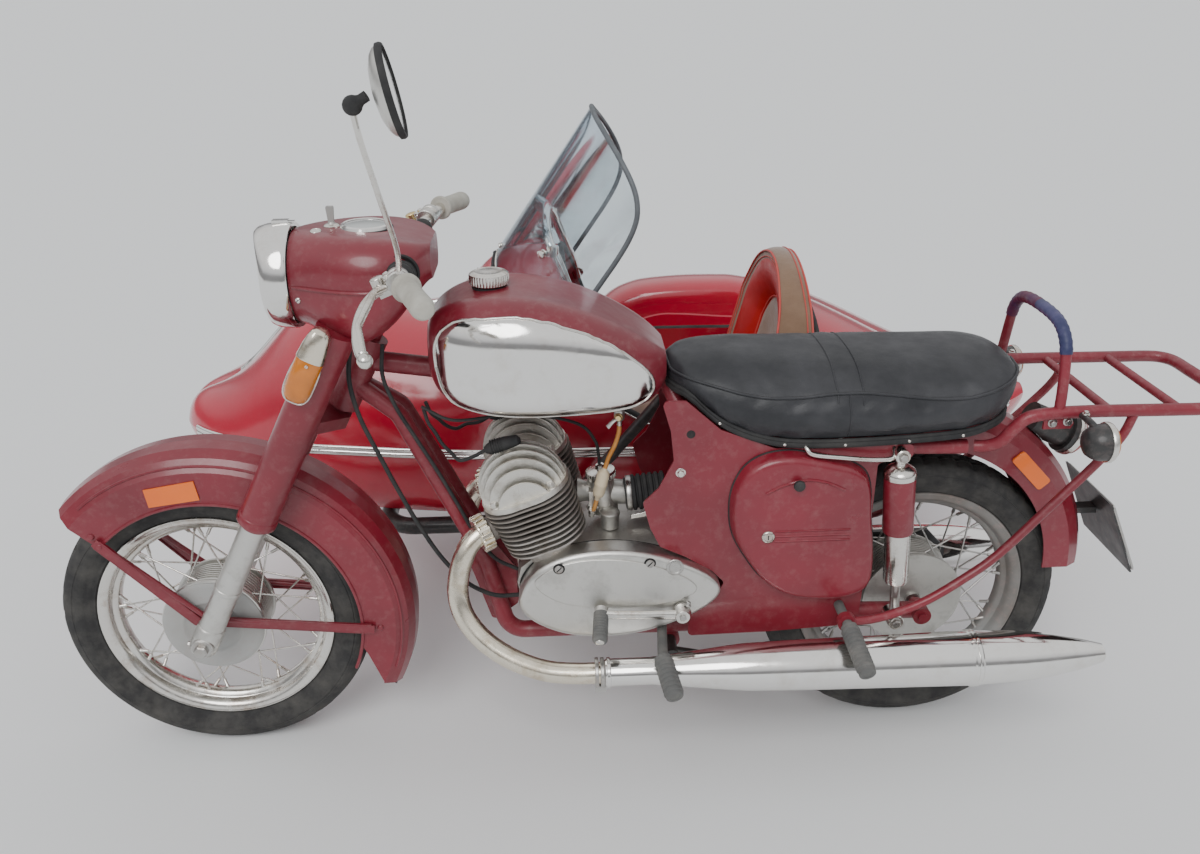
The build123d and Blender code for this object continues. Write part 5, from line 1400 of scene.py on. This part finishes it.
# Engine: spark plugs and caps, exhaust nuts, carburettor, screws and the gear lever's rubber.
LEAN = math.radians(20)
BARREL_X, BARREL_Y, BARREL_Z = -690, 73, 456  # the cylinder's foot
FIN_LONG, FIN_WIDE = 77, 66                     # half the fins' length and width
UP = V(-math.sin(LEAN), 0, math.cos(LEAN))
FORE = V(math.cos(LEAN), 0, math.sin(LEAN))


def barrel(side, s, a=0, b=0):
    # a point s up the cylinder, a to the rear and b outward
    return V(BARREL_X, side * BARREL_Y, BARREL_Z) + UP * s + FORE * a + V(0, side * b, 0)


def fins():
    # iron fins, paler at the foot, with a painted highlight along the rims
    t = Tree("cylinder_fins")
    x, y, z = t.axes()
    dx = t.math("SUBTRACT", x, (BARREL_X + REAR_X) / 1000)
    dz = t.math("SUBTRACT", z, BARREL_Z / 1000)
    up = t.math("ADD", t.math("MULTIPLY", dx, UP.x), t.math("MULTIPLY", dz, UP.z))
    rear = t.math("DIVIDE", t.math("ADD", t.math("MULTIPLY", dx, FORE.x), t.math("MULTIPLY", dz, FORE.z)),
        FIN_LONG / 1000)
    off_middle = t.math("ABSOLUTE", t.math("SUBTRACT", y, BIKE_Y / 1000))
    dy = t.math("DIVIDE", t.math("SUBTRACT", off_middle, BARREL_Y / 1000), FIN_WIDE / 1000)
    edge = t.math("SQRT", t.math("ADD", t.math("MULTIPLY", rear, rear), t.math("MULTIPLY", dy, dy)))
    pale = t.span(up, 0.058, 0.046)
    stain = t.span(t.noise(34, 6, 0.7), 0.35, 0.7)
    dark = t.mix(stain, (0.12, 0.095, 0.08), (0.06, 0.046, 0.036))
    light = t.mix(stain, (0.55, 0.53, 0.5), (0.34, 0.3, 0.26))
    base = t.mix(pale, dark, light)
    # paler colour near each fin's rim: painted highlight
    base = t.mix(t.math("MULTIPLY", t.span(edge, 0.93, 1), 0.4), base, (0.5, 0.46, 0.42))
    t.set(Base_Color=base, Metallic=t.span(pale, 0, 1, 0.55, 0.9))
    t.set(Roughness=t.span(t.noise(60, 5), 0.3, 0.7, 0.38, 0.6))
    t.set(Normal=t.bump(t.noise(300, 4, 0.65), 0.35, 0.0015))
    return t.mat


dress("cylinders", fins())
HEAD = metal("cast_head", (0.72, 0.7, 0.65), (0.34, 0.29, 0.23), 0.34, 0.22, 0.75, 0.5, 260)
dress("cylinder_heads", HEAD)
for side in (-1, 1):
    tag = TAG[side]
    kit = Kit("spark_plug_" + tag, "chassis", [RUBBER, STEEL, CREAM], "black_rubber", sharp=45)
    kit.lathe(barrel(side, 176), UP, [(0, 0), (15, 0), (15, 8), (13, 10), (13, 13), (8, 14.5), (7, 26),
        (0, 26)], 24, 1)
    kit.lathe(barrel(side, 190), UP, [(0, 0), (12.5, 0), (12.5, 8), (0, 8)], 6, 1)
    kit.lathe(barrel(side, 198), UP, [(0, 0), (6.6, 0), (6.2, 12), (0, 12)], 20, 2)
    top = barrel(side, 209)
    kit.lathe(barrel(side, 203), UP, [(0, 0), (9.5, 0), (10.5, 2), (10.5, 12), (0, 14)], 24, 0)
    kit.tube([top + V(26, 0, 9), top + V(22, 0, 8), top + V(0, 0, 3), top + V(-22, 0, -4), top + V(-30, 0, -7),
        top + V(-36, 0, -9)], [4, 10, 12.5, 12, 9.5, 6], 18, 0, curve=0)
    for k in range(5):
        kit.lathe(top + V(-6 - 4.2 * k, 0, 1.2 - 1.2 * k), V(-1, 0, -0.3), [(11, 0), (13.6, 0.6), (13.6, 2),
            (11, 2.6)], 20, 0, closed=True)
    kit.make()
    # V-shaped boss behind the plug, between the fins
    kit = Kit("head_boss_" + tag, "chassis", HEAD, "alloy", bevel=1.2, sharp=40)
    for lean_y in (-1, 1):
        kit.slab([(-36, 0), (30, 0), (20, 26), (-26, 26)], barrel(side, 156, -6, lean_y * 17 - 3), FORE,
            UP + V(0, lean_y * side * 0.35, 0), 5)
    kit.lathe(barrel(side, 150), UP, [(0, 0), (26, 0), (22, 26), (0, 27)], 28, 0)
    # nuts that hold the head down
    for a in (-52, 52):
        for b in (-46, 46):
            kit.bolt(barrel(side, 124.5, a, b), UP, 7.5, 10)
    kit.make()
    lead = [top + V(-34, 0, -8), top + V(-56, 0, -20), top + V(-80, 4 * side, -25), V(-858, side * 52, 630),
        V(-874, side * 40, 642), V(-886, side * 30, 660), V(-898, side * 22, 676), V(-905, side * 16, 700)]
    kit = Kit("plug_lead_" + tag, "chassis", RUBBER, "black_rubber", sharp=60)
    kit.tube(lead, 3.4, 10, 0, curve=6)
    kit.make()

    # toothed nut on the exhaust port
    kit = Kit("exhaust_nut_" + tag, "chassis", CREAM_METAL, "chrome", bevel=0.6, sharp=40)
    start = V(-798, side * 90.3, 495.7)
    out = V(-0.877, side * 0.395, -0.272).normalized()
    kit.lathe(start + out * 1.5, out, [(20, 0), (29.6, 0), (30.4, 1.5), (30.4, 5), (29, 6), (29, 16),
        (30.4, 17), (30.4, 20), (29, 21.8), (20, 21.8)], 48, 0, closed=True)
    u = out.orthogonal().normalized()
    w = out.cross(u)
    for k in range(18):
        a = 2 * math.pi * k / 18
        d = u * math.cos(a) + w * math.sin(a)
        kit.brick(start + out * 12.4 + d * 31, (20.5, 5.6, 6.5), 0, out, d)
    kit.make()

# Carburettor: flanged intake, mixing chamber, float bowl, clamp and ribbed duct.
kit = Kit("carburettor_body", "chassis", [HEAD, CHROME_WORN, RUBBER, STEEL, ALLOY_ROUGH], "alloy", bevel=0.8,
    sharp=38)
kit.lathe((-640, 0, 520), (1, 0, -0.08), [(0, 0), (24, 0), (22, 6), (19, 16), (18, 34), (22, 40), (22, 92),
    (20, 98), (0, 98)], 32, 4)
kit.slab([(-34, -15), (34, -15), (34, 15), (-34, 15)], (-618, 0, 518), (0, 1, 0), (0, 0, 1), 9, 0)
for s in (-1, 1):
    kit.bolt((-609, s * 26, 518), (1, 0, 0), 5.5, 7, 3)
kit.lathe((-586, -2, 474), UP.lerp(V(0, 0, 1), 0.6), [(0, 0), (16, 0), (24, 5), (25, 12), (25, 70), (23.5, 73),
    (23.5, 76), (0, 76)], 36, 0)
kit.lathe((-593, -2, 549), UP.lerp(V(0, 0, 1), 0.6), [(0, 0), (26.5, 0), (27, 1.5), (27, 11), (26, 13),
    (20, 14.5), (9, 17), (8, 25), (5, 27), (0, 27)], 40, 1)
for k in range(30):
    a = 2 * math.pi * k / 30
    kit.brick((-593 - 1.1 + 27.2 * math.cos(a), -2 + 27.2 * math.sin(a), 555.5), (1.6, 2.4, 9), 1, (math.cos(a),
        math.sin(a), 0))
kit.lathe((-580, -40, 462.8), (0, 0, 1), [(0, 0), (14, 0), (16.5, 2), (17, 8), (17, 27), (18.5, 28), (18.5, 32),
    (16.5, 33.5), (8, 36), (0, 36.5)], 32, 4)
kit.brick((-582, -24, 486), (22, 20, 12), 4)
kit.lathe((-548, 0, 511), (1, 0, 0.05), [(24, 0), (32, 0), (33, 2), (33, 9), (32, 11), (24, 11)], 40, 3,
    closed=True)
duct = [(29, -4)]
for k in range(6):
    duct += [(29.5, 8 + 11 * k), (33.6, 10 + 11 * k), (33.6, 15 + 11 * k), (29.5, 17 + 11 * k)]
kit.lathe((-546, 0, 511), (1, 0, 0.1), [(0, -4)] + duct + [(0, 74)], 40, 2)
kit.tube([(-618, -24, 500), (-600, -27, 497)], 3, 10, 3, curve=0)
kit.bolt((-614, -27, 499), (0, -1, 0), 6.5, 7, 1)
kit.slab([(-5, -4), (26, -5), (30, 0), (26, 5), (-5, 4)], (-536, -34, 481), (1, 0, 0.18), (0, 0, 1), 3, 1)
obj = kit.make()
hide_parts("carburettor")
kit = Kit("throttle_cable", "chassis", RUBBER, "black_rubber", sharp=60)
kit.tube([(-905, -40, 715), (-850, -46, 690), (-760, -30, 690), (-690, -24, 682), (-630, -16, 660),
    (-604, -10, 625), (-598, -4, 595), (-596.5, -2, 572)], 3, 10, 0, curve=7)
kit.make()

# Covers: slotted screws, the gear lever's collar, arm and rubber.
cover_tree = mesh_tree(nodes["case_covers"])
kit = Kit("case_screws", "chassis", [STEEL, RECESS_SHADE], "alloy", sharp=40)
for side in (-1, 1):
    for x, z in ((-676, 446), (-516, 449)):
        p, n = side_point(cover_tree, x, z, side)
        # near-black ring under each screw, painted shade of its recess; the slots are painted shade too
        kit.lathe(p, n, [(9.5, -0.4), (10.5, 0.3), (10.5, 0.9), (9, 1.2), (0, 1.2)], 28, 1)
        kit.screw(p + n * 0.8, n, 7.6)
p, n = side_point(cover_tree, -472, 439, -1)
kit.lathe(p, n, [(14.5, -0.4), (15.5, 0.4), (15.5, 2), (14, 3), (11, 3.2), (10, 2.2), (0, 2.2)], 40, 0)
kit.make()
# thin near-black line round each cover's edge, painted shade in the seam
kit = Kit("cover_rims", "chassis", RECESS_SHADE, "alloy", sharp=60)
for side in (-1, 1):
    edge = [(-748, 385), (-702, 448), (-600, 474), (-480, 452), (-388, 386), (-480, 315), (-600, 293),
        (-705, 318)]
    loop = closed_curve(edge, 10)
    c = V(-566, 0, 384)
    ring = []
    for p in loop:
        q = c + (p - c) * 0.996
        ring.append(V(q.x, side * 105.2, q.z))
    kit.tube(ring, 1.5, 6, curve=0)
kit.make()
kit = Kit("gear_lever", "chassis", [CHROME_WORN, PEG_RUBBER, STEEL], "alloy", bevel=0.5, sharp=40)
kit.lathe((-459, -151, 350), (0, -1, 0), [(0, 0), (15.5, 0), (17, 1.5), (17, 9), (15, 12), (13.5, 21.5),
    (12.4, 23.6), (6, 24), (0, 23)], 36, 0)
kit.lathe((-459, -174.2, 350), (0, -1, 0), [(0, 0), (6.4, 0), (6.4, 3.4), (5.2, 4.4), (0, 4.4)], 6, 2)
kit.tube([(-468, -165, 350.2), (-520, -167, 353), (-575, -168.5, 356.5), (-603, -168, 359)], [9.4, 8.4, 8.2,
    8.6], 18, 0, curve=0, flat=0.72, up=(0, 0, 1))
kit.bolt((-449, -160, 366.5), (0.2, 0, 1), 4.6, 6, 2)
axis = V(-6, -60, -27).normalized()
prof = [(8, 8)]
for k in range(9):
    prof += [(12.4, 9 + 5.4 * k), (13.6, 10 + 5.4 * k), (13.6, 12.6 + 5.4 * k), (12.4, 13.6 + 5.4 * k)]
prof += [(13.6, 59), (13.4, 64), (11.8, 66.6), (8, 67.4)]
kit.lathe((-603, -156, 363), axis, [(0, 8)] + prof + [(0, 67.4)], 30, 1)
kit.lathe((-609, -216, 336), axis, [(0, -2), (7.8, -2), (7.8, 2.6), (6, 3.8), (0, 4.2)], 28, 0)
kit.make()
# Exhausts: smooth bends, clamps and turned silencers.
silencer_rows = [(19.5, -6), (23, 0), (24.4, 3), (24.4, 82), (26.5, 104), (33, 165), (38, 208), (42, 250),
    (44.5, 330), (46, 420), (49, 650), (49, 655), (51, 658), (51, 662), (49.8, 663.5), (51, 665), (51, 669),
    (48.5, 672), (46, 745), (42.8, 782), (38, 815), (28, 868), (18, 905), (14.6, 908), (13, 904), (12.6, 860),
    (0, 858)]
for side in (-1, 1):
    tag = TAG[side]
    kit = Kit("exhaust_bend_" + tag, "chassis", CREAM_METAL, "chrome", sharp=50)
    bend = [(-799, 90.8, 495.4), (-819, 99.8, 487.5), (-838, 109.5, 467), (-852, 119.5, 431), (-857.5, 130.5,
        392), (-850, 143.5, 357), (-830, 157, 327), (-800, 171, 301), (-758, 184, 278), (-705, 192.5, 260),
        (-650, 195, 253.6), (-592, 195, 253)]
    kit.tube(mirrored(bend, side), 19, 32, 0, curve=8)
    kit.make()
    kit = Kit("silencer_" + tag, "chassis", [CHROME, STEEL], "chrome", sharp=32)
    foot = V(-600, side * 195, 253)
    kit.lathe(foot, (1, 0, 0), [(0, -6)] + silencer_rows, 64, 0)
    for s in (-18, -8, 3):
        kit.lathe(foot + V(s, 0, 0), (1, 0, 0), [(19, 0), (26.4, 0), (27.2, 1.2), (27.2, 5.4), (26.4, 6.6),
            (19, 6.6)], 40, 1 if s < 0 else 0, closed=True)
    kit.brick(foot + V(-8, side * 2, -30), (20, 12, 12), 1)
    kit.bolt(foot + V(-8, side * -4, -31), (0, -side, 0), 5, 6, 1)
    body = kit.make()
    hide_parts("exhausts")

# Footrest rubbers with moulded ribs and open ends.
kit = Kit("footrest_rubbers", "chassis", PEG_RUBBER, "black_rubber", sharp=40)
for side in (-1, 1):
    for a, b, r in (((-501, 232, 308), (-487, 305, 282), 15), ((-164.5, 191.6, 328.8), (-154, 286, 297), 14.5)):
        a, b = V(a[0], side * a[1], a[2]), V(b[0], side * b[1], b[2])
        d, n = (b - a).normalized(), int((b - a).length / 8.5) - 1
        prof = [(0, 1), (r - 2, 1), (r + 0.6, 4)]
        for k in range(n):
            s = 8 + 8.5 * k
            prof += [(r + 0.5, s), (r + 2.2, s + 1.2), (r + 2.2, s + 4.6), (r + 0.5, s + 5.8)]
        end = (b - a).length
        prof += [(r + 0.6, end - 1.5), (r - 1.5, end + 0.8), (r - 6, end + 0.8), (r - 6.5, end - 5),
            (0, end - 5.2)]
        kit.lathe(a, d, prof, 32, 0)
kit.make()
# Side covers: smooth pressed lids with rolled edges.
lid = [(-375, 526), (-373, 576), (-354, 619), (-322, 642), (-279, 649), (-240, 643), (-202, 634), (-162, 621),
    (-134, 590), (-123, 513), (-113, 429), (-119, 378), (-158, 355), (-224, 355), (-271, 367), (-314, 399),
    (-348, 448), (-367, 486)]
loop = closed_curve(lid, 6)
mid = V(-246, 0, 500)
for side in (-1, 1):
    kit = Kit("side_cover_" + TAG[side], "chassis", [RED, RUBBER], "dark_red", sharp=50)
    rows = []
    for k, y in ((0.985, 122.3), (1, 123.5), (1, 126), (0.994, 128), (0.985, 133), (0.975, 140), (0.955, 146),
            (0.925, 149), (0.88, 150), (0.6, 150.6), (0.3, 150.8)):
        rows.append([V(mid.x + (p.x - mid.x) * k, side * y, mid.z + (p.z - mid.z) * k) for p in loop])
    kit.grid(rows, 0, True, True)
    kit.tube([V(p.x, side * 123.2, p.z) for p in loop], 2.2, 8, 1, curve=0, closed=True)
    lid_obj = kit.make()
    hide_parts("side_covers")

# Rear rack: bent rails, struts, cross tubes and the hoop behind the seat.
kit = Kit("rear_rack_tubes", "chassis", [FRAME_RED, STEEL], "frame_red", sharp=50)
for side in (-1, 1):
    rail = [(54.5, 100, 634), (72, 108, 637), (92, 118, 650), (108, 124, 676), (128, 127, 697),
        (165, RACK_HALF, RACK_Z), (230, RACK_HALF, 706), (330, RACK_HALF, 705), (420, RACK_HALF, RACK_Z)]
    rail += [(x, y, RACK_Z) for x, y in ((462, 127), (488, 122), (503, 108), (508, 88), (508, 50), (508, 0))]
    kit.tube(mirrored(rail, side), 11, 18, 0, curve=5)
    strut = [(-165, 177, 330), (-120, 172, 329), (-70, 166, 338), (-13, 160, 359), (49, 154, 397),
        (106, 148, 440), (186, 140, 526), (256, 134, 604), (296, 130, 656), (312, 128, 700)]
    kit.tube(mirrored(strut, side), 8, 16, 0, curve=5)
    kit.lathe((-165, side * 170, 330), (0, side, 0), [(9.4, 0), (17, 0), (17, 14), (9.4, 14)], 30, 0,
        closed=True)
    kit.slab([(-26, -16), (22, -16), (26, -6), (12, 14), (-12, 14), (-26, 4)], (182, side * 128 + 2.5, 692),
        (1, 0, 0), (0, 0, 1), 5, 0)
    kit.bolt((170, side * 131, 688), (0, side, 0), 6, 6, 1)
    kit.bolt((196, side * 131, 690), (0, side, 0), 6, 6, 1)
for x in (270, 390):
    kit.tube([(x, -126, 704.5), (x, 126, 704.5)], 8, 16, 0, curve=0)
arch_points = [(180, -127, 705), (182, -122, 740), (183, -114, 785), (183, -104, 820), (182, -82, 843),
    (181, -50, 853), (180, 0, 856), (181, 50, 853), (182, 82, 843), (183, 104, 820), (183, 114, 785),
    (182, 122, 740), (180, 127, 705)]
hoop_line = smooth_line(arch_points, 8)
kit.tube(hoop_line, 9, 18, 0, curve=0)
rack_obj = kit.make()
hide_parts("rear_rack")
kit = Kit("taped_hoop", "chassis", [BLUE_TAPE, PURPLE_TAPE], "black_rubber", sharp=80)
taped = [p for p in hoop_line if p.z > 800]
third = len(taped) // 2
for part, mat in ((taped[:third + 1], 0), (taped[third:], 1)):
    kit.tube(part, [10.2 + 0.9 * ((k * 7) % 3) / 2 for k in range(len(part))], 18, mat, curve=0)
kit.make()

# Rear indicators: domed black shells, chrome rims and orange lenses.
for side in (-1, 1):
    kit = Kit("rear_indicator_" + TAG[side], "chassis", [BLACK, CHROME_WORN, AMBER], "lamp_black", sharp=36)
    at = V(206, side * 188, 676)
    kit.lathe(at, (1, 0, 0), [(0, -9), (12, -7.5), (22, -2), (28, 7), (31, 18), (32, 30), (0, 30)], 44, 0)
    kit.lathe(at, (1, 0, 0), [(29, 27), (33.4, 27), (34.4, 29), (34.4, 34), (33, 36.5), (29, 36.5)], 44, 1,
        closed=True)
    kit.lathe(at, (1, 0, 0), [(0, 30), (30.5, 30), (30.5, 36), (28, 41), (20, 45), (10, 46.4), (0, 46.6)], 44,
        2)
    kit.tube([(215, side * 139.3, 704), (215, side * 165, 704), (217, side * 182, 700), (220, side * 188, 690)],
        6, 14, 0, curve=5)
    kit.bolt((215, side * 150, 711), (0, 0, 1), 4.5, 4, 1)
    lamp = kit.make()
    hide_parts("rear_indicators")
# Side covers: ribs, raised arc, knob and lock.
side_tree = mesh_tree(nodes["side_covers"])
kit = Kit("side_cover_details", "chassis", [RED, RUBBER, CHROME_WORN, RECESS_SHADE], "dark_red", sharp=45)
for side in (-1, 1):
    for z in (505, 495, 485):
        row = [side_point(side_tree, x, z, side)[0] for x in range(-298, -160, 12)]
        kit.tube(row, 2.3, 8, 0, curve=0)
    arc = [(-318, 580), (-296, 592), (-268, 601), (-244, 604), (-214, 598), (-182, 583)]
    kit.tube([side_point(side_tree, x, z, side)[0] for x, z in arc], 3, 8, 0, curve=4)
    p, n = side_point(side_tree, -264, 599, side)
    kit.lathe(p, n, [(0, -1), (5, -1), (5, 6), (9, 7.5), (10, 10), (9.4, 14), (6, 16.5), (0, 17)], 28, 1)
    p, n = side_point(side_tree, -310, 495, side)
    kit.lathe(p, n, [(0, -1), (12, -1), (12, 2), (10, 4), (7.5, 4.6), (7, 3.6), (0, 3.6)], 32, 2)
    # near-black keyhole strip, painted shade
    kit.brick(p + n * 3.8, (1.6, 8, 1.2), 3, (1, 0, 0), n)
kit.make()
body_tree = mesh_tree(nodes["centre_body"])
kit = Kit("centre_body_fixings", "chassis", [CHROME_WORN, RECESS_SHADE], "dark_red", sharp=45)
for side in (-1, 1):
    p, n = side_point(body_tree, -462, 612, side)
    kit.bolt(p, n, 6.5, 6, 0)
    p, n = side_point(body_tree, -446, 684, side)
    # near-black disc, painted shade of a hole
    kit.lathe(p, n, [(6.5, -0.6), (7.5, 0.4), (6.5, 0.8), (5, 0.5), (0, 0.4)], 24, 1)
kit.make()
kit = Kit("lift_handle", "chassis", CHROME_WORN, "chrome", sharp=50)
kit.tube([(-252, -121, 662), (-249, -134, 655), (-238, -139, 646), (-190, -141, 640), (-140, -140, 634),
    (-106, -138, 633), (-97, -132, 638), (-95, -120, 646)], 4.2, 12, 0, curve=6)
kit.make()

# Shock absorbers: eyes, chrome caps, red shrouds and chrome sleeves over dark rods.
for side in (-1, 1):
    kit = Kit("shock_" + TAG[side], "chassis", [CHROME_WORN, RED, STEEL], "chrome", sharp=35)
    top, low = V(SHOCK_TOP_X, side * SHOCK_Y, 632), V(SHOCK_FOOT_X, side * SHOCK_Y, 306)
    d = (low - top).normalized()
    kit.lathe(top, d, [(0, 0), (9, 0), (9, 14), (14, 15), (24, 21), (27.5, 26), (28.2, 30), (28.2, 36),
        (26.5, 38), (0, 38)], 48, 0)
    kit.lathe(top, d, [(0, 36), (26.6, 36), (27.2, 38), (27.2, 140), (26, 145), (24, 146), (0, 146)], 48, 1)
    kit.lathe(top, d, [(0, 144), (22.5, 144), (22.5, 244), (21, 249), (12, 252), (0, 252)], 48, 0)
    kit.lathe(top, d, [(0, 250), (9, 250), (9, 318), (0, 318)], 28, 2)
    for at, r, y0 in ((V(SHOCK_FOOT_X, 0, 300), 15, 104.3), (V(SHOCK_TOP_X, 0, 638), 13, 122.3)):
        at.y = side * y0
        w = SHOCK_FACE - y0
        kit.lathe(at, (0, side, 0), [(0, 0), (r - 1.5, 0), (r, 1.5), (r, w - 1.5), (r - 1.5, w), (r - 4.5, w),
            (r - 5, w - 1.5), (0, w - 1.5)], 36, 0)
        kit.bolt(at + V(0, side * (w - 2), 0), (0, side, 0), 8, 7, 2)
    obj = kit.make()
    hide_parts("shock_absorbers")

# Rear lamp, plate rim and reflectors.
kit = Kit("tail_lamp_lens", "chassis", [RED_LENS, CHROME_WORN], "amber", sharp=35)
axis = V(14, 0, -6.4).normalized()
face = V(276, 0, 603.6)
kit.lathe(face, axis, [(0, -2), (36.5, -2), (36.5, 6), (35, 12), (29, 18), (16, 22), (0, 23)], 48, 0)
for k in range(6):
    kit.lathe(face, axis, [(5 + 5.4 * k, 21.6 - 0.16 * k * k * 2.2), (6 + 5.4 * k, 23.4 - 0.2 * k * k * 2.2),
        (7.4 + 5.4 * k, 21.6 - 0.2 * k * k * 2.2)], 40, 0, closed=True)
kit.lathe(face, axis, [(35, -6), (39.6, -6), (40.4, -4), (40.4, 3), (38.8, 5), (36, 5)], 48, 1, closed=True)
kit.make()
kit = Kit("number_plate_rim", "chassis", STEEL, "lamp_black", sharp=45)
plate_top = V(333, 0, 500)
slope = V(68, 0, -146).normalized()
out = V(slope.z * -1, 0, slope.x).normalized()
corners = []
for y, s in ((-90, 4), (-90, 157), (90, 157), (90, 4)):
    corners.append(plate_top + V(0, y * 0.985, 0) + slope * s)
ring = []
for i, p in enumerate(corners):
    a, b = corners[i - 1], corners[(i + 1) % 4]
    for t in (0, 0.5, 1):
        u, v = p + (a - p).normalized() * 7, p + (b - p).normalized() * 7
        ring.append(u * (1 - t) ** 2 + p * 2 * t * (1 - t) + v * t ** 2)
kit.tube([p + out * 1.5 for p in ring], 2.4, 8, 0, curve=0, closed=True)
for y in (-60, 60):
    kit.bolt(plate_top + V(0, y, 0) + slope * 18 + out * 2, out, 4.5, 4, 0)
kit.make()
kit = Kit("rear_mudguard_details", "chassis", ORANGE, "amber", bevel=0.8, sharp=40)
for side in (-1, 1):
    mid = V(184, side * 60.5, 562)
    u = V(60, 0, -63).normalized()
    v = u.cross(V(0, 1, 0)).normalized()
    outline = []
    for sx, sy in ((-1, -1), (1, -1), (1, 1), (-1, 1)):
        for t in (0, 1, 2):
            a = math.atan2(sy, sx) - math.pi / 4 + t * math.pi / 4
            outline.append((sx * 38 + 5 * math.cos(a), sy * 9 + 5 * math.sin(a)))
    kit.slab(outline, mid + V(0, 0 if side < 0 else 5, 0), u, v, 5 if u.cross(v).y * side > 0 else -5, 0)
kit.make()


# Floor, light and world.
def stage_material(name, colour):
    t = Tree(name)
    t.set(Base_Color=colour, Roughness=0.9)
    return t.mat


floor_mesh = bpy.data.meshes.new("floor")
floor_mesh.from_pydata([(-60, -60, 0), (60, -60, 0), (60, 60, 0), (-60, 60, 0)], [], [(0, 1, 2, 3)])
floor = bpy.data.objects.new("floor", floor_mesh)
bpy.context.scene.collection.objects.link(floor)
floor_mesh.materials.append(stage_material("pale_floor", (0.86, 0.86, 0.85)))
floor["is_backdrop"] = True

world = bpy.data.worlds.new("studio")
bpy.context.scene.world = world
world.use_nodes = True
world_nodes, world_links = world.node_tree.nodes, world.node_tree.links


def world_node(kind, inputs=(), **settings):
    # a node whose inputs are values or other nodes' sockets
    node = world_nodes.new("ShaderNode" + kind)
    for key, value in settings.items():
        setattr(node, key, value)
    for i, value in inputs:
        if isinstance(value, bpy.types.NodeSocket):
            world_links.new(value, node.inputs[i])
        else:
            node.inputs[i].default_value = value
    return node


light = world_nodes["Background"]
light.inputs[0].default_value = (0.93, 0.96, 1, 1)
light.inputs[1].default_value = 0.8
# what shows in gloss and glass: dark just over the horizon, white overhead
height = world_node("SeparateXYZ", [(0, world_node("TexCoord").outputs["Generated"])])
ramp = world_node("ValToRGB", [(0, height.outputs[2])])
elements = ramp.color_ramp.elements
elements[0].position, elements[0].color = 0, (0.8, 0.8, 0.8, 1)
elements[1].position, elements[1].color = 0.55, (1, 1, 1, 1)
for place, level in ((0.04, 0.25), (0.2, 0.3), (0.32, 0.75)):
    elements.new(place).color = (level, level, level * 1.02, 1)
rays = world_node("LightPath").outputs
camera_ray = rays["Is Camera Ray"]
gloss_or_glass = world_node("Math", [(0, rays["Is Glossy Ray"]), (1, rays["Is Transmission Ray"])],
    operation="MAXIMUM").outputs[0]
# the camera itself sees plain white
shown = world_node("Mix", [(0, camera_ray), (6, ramp.outputs[0]), (7, (1, 1, 1, 1))], data_type="RGBA")
backdrop = world_node("Background", [(0, shown.outputs[2]), (1, 1)])
seen = world_node("Math", [(0, camera_ray), (1, gloss_or_glass)], operation="MAXIMUM")
blend = world_node("MixShader", [(0, seen.outputs[0]), (1, light.outputs[0]), (2, backdrop.outputs[0])])
world_links.new(blend.outputs[0], world_nodes["World Output"].inputs[0])

sun_data = bpy.data.lights.new("sun", "SUN")
sun_data.energy = 1.5
sun_data.angle = math.radians(35)
sun = bpy.data.objects.new("sun", sun_data)
sun.rotation_euler = (math.radians(42), math.radians(-18), 0)
bpy.context.scene.collection.objects.link(sun)

low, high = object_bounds()
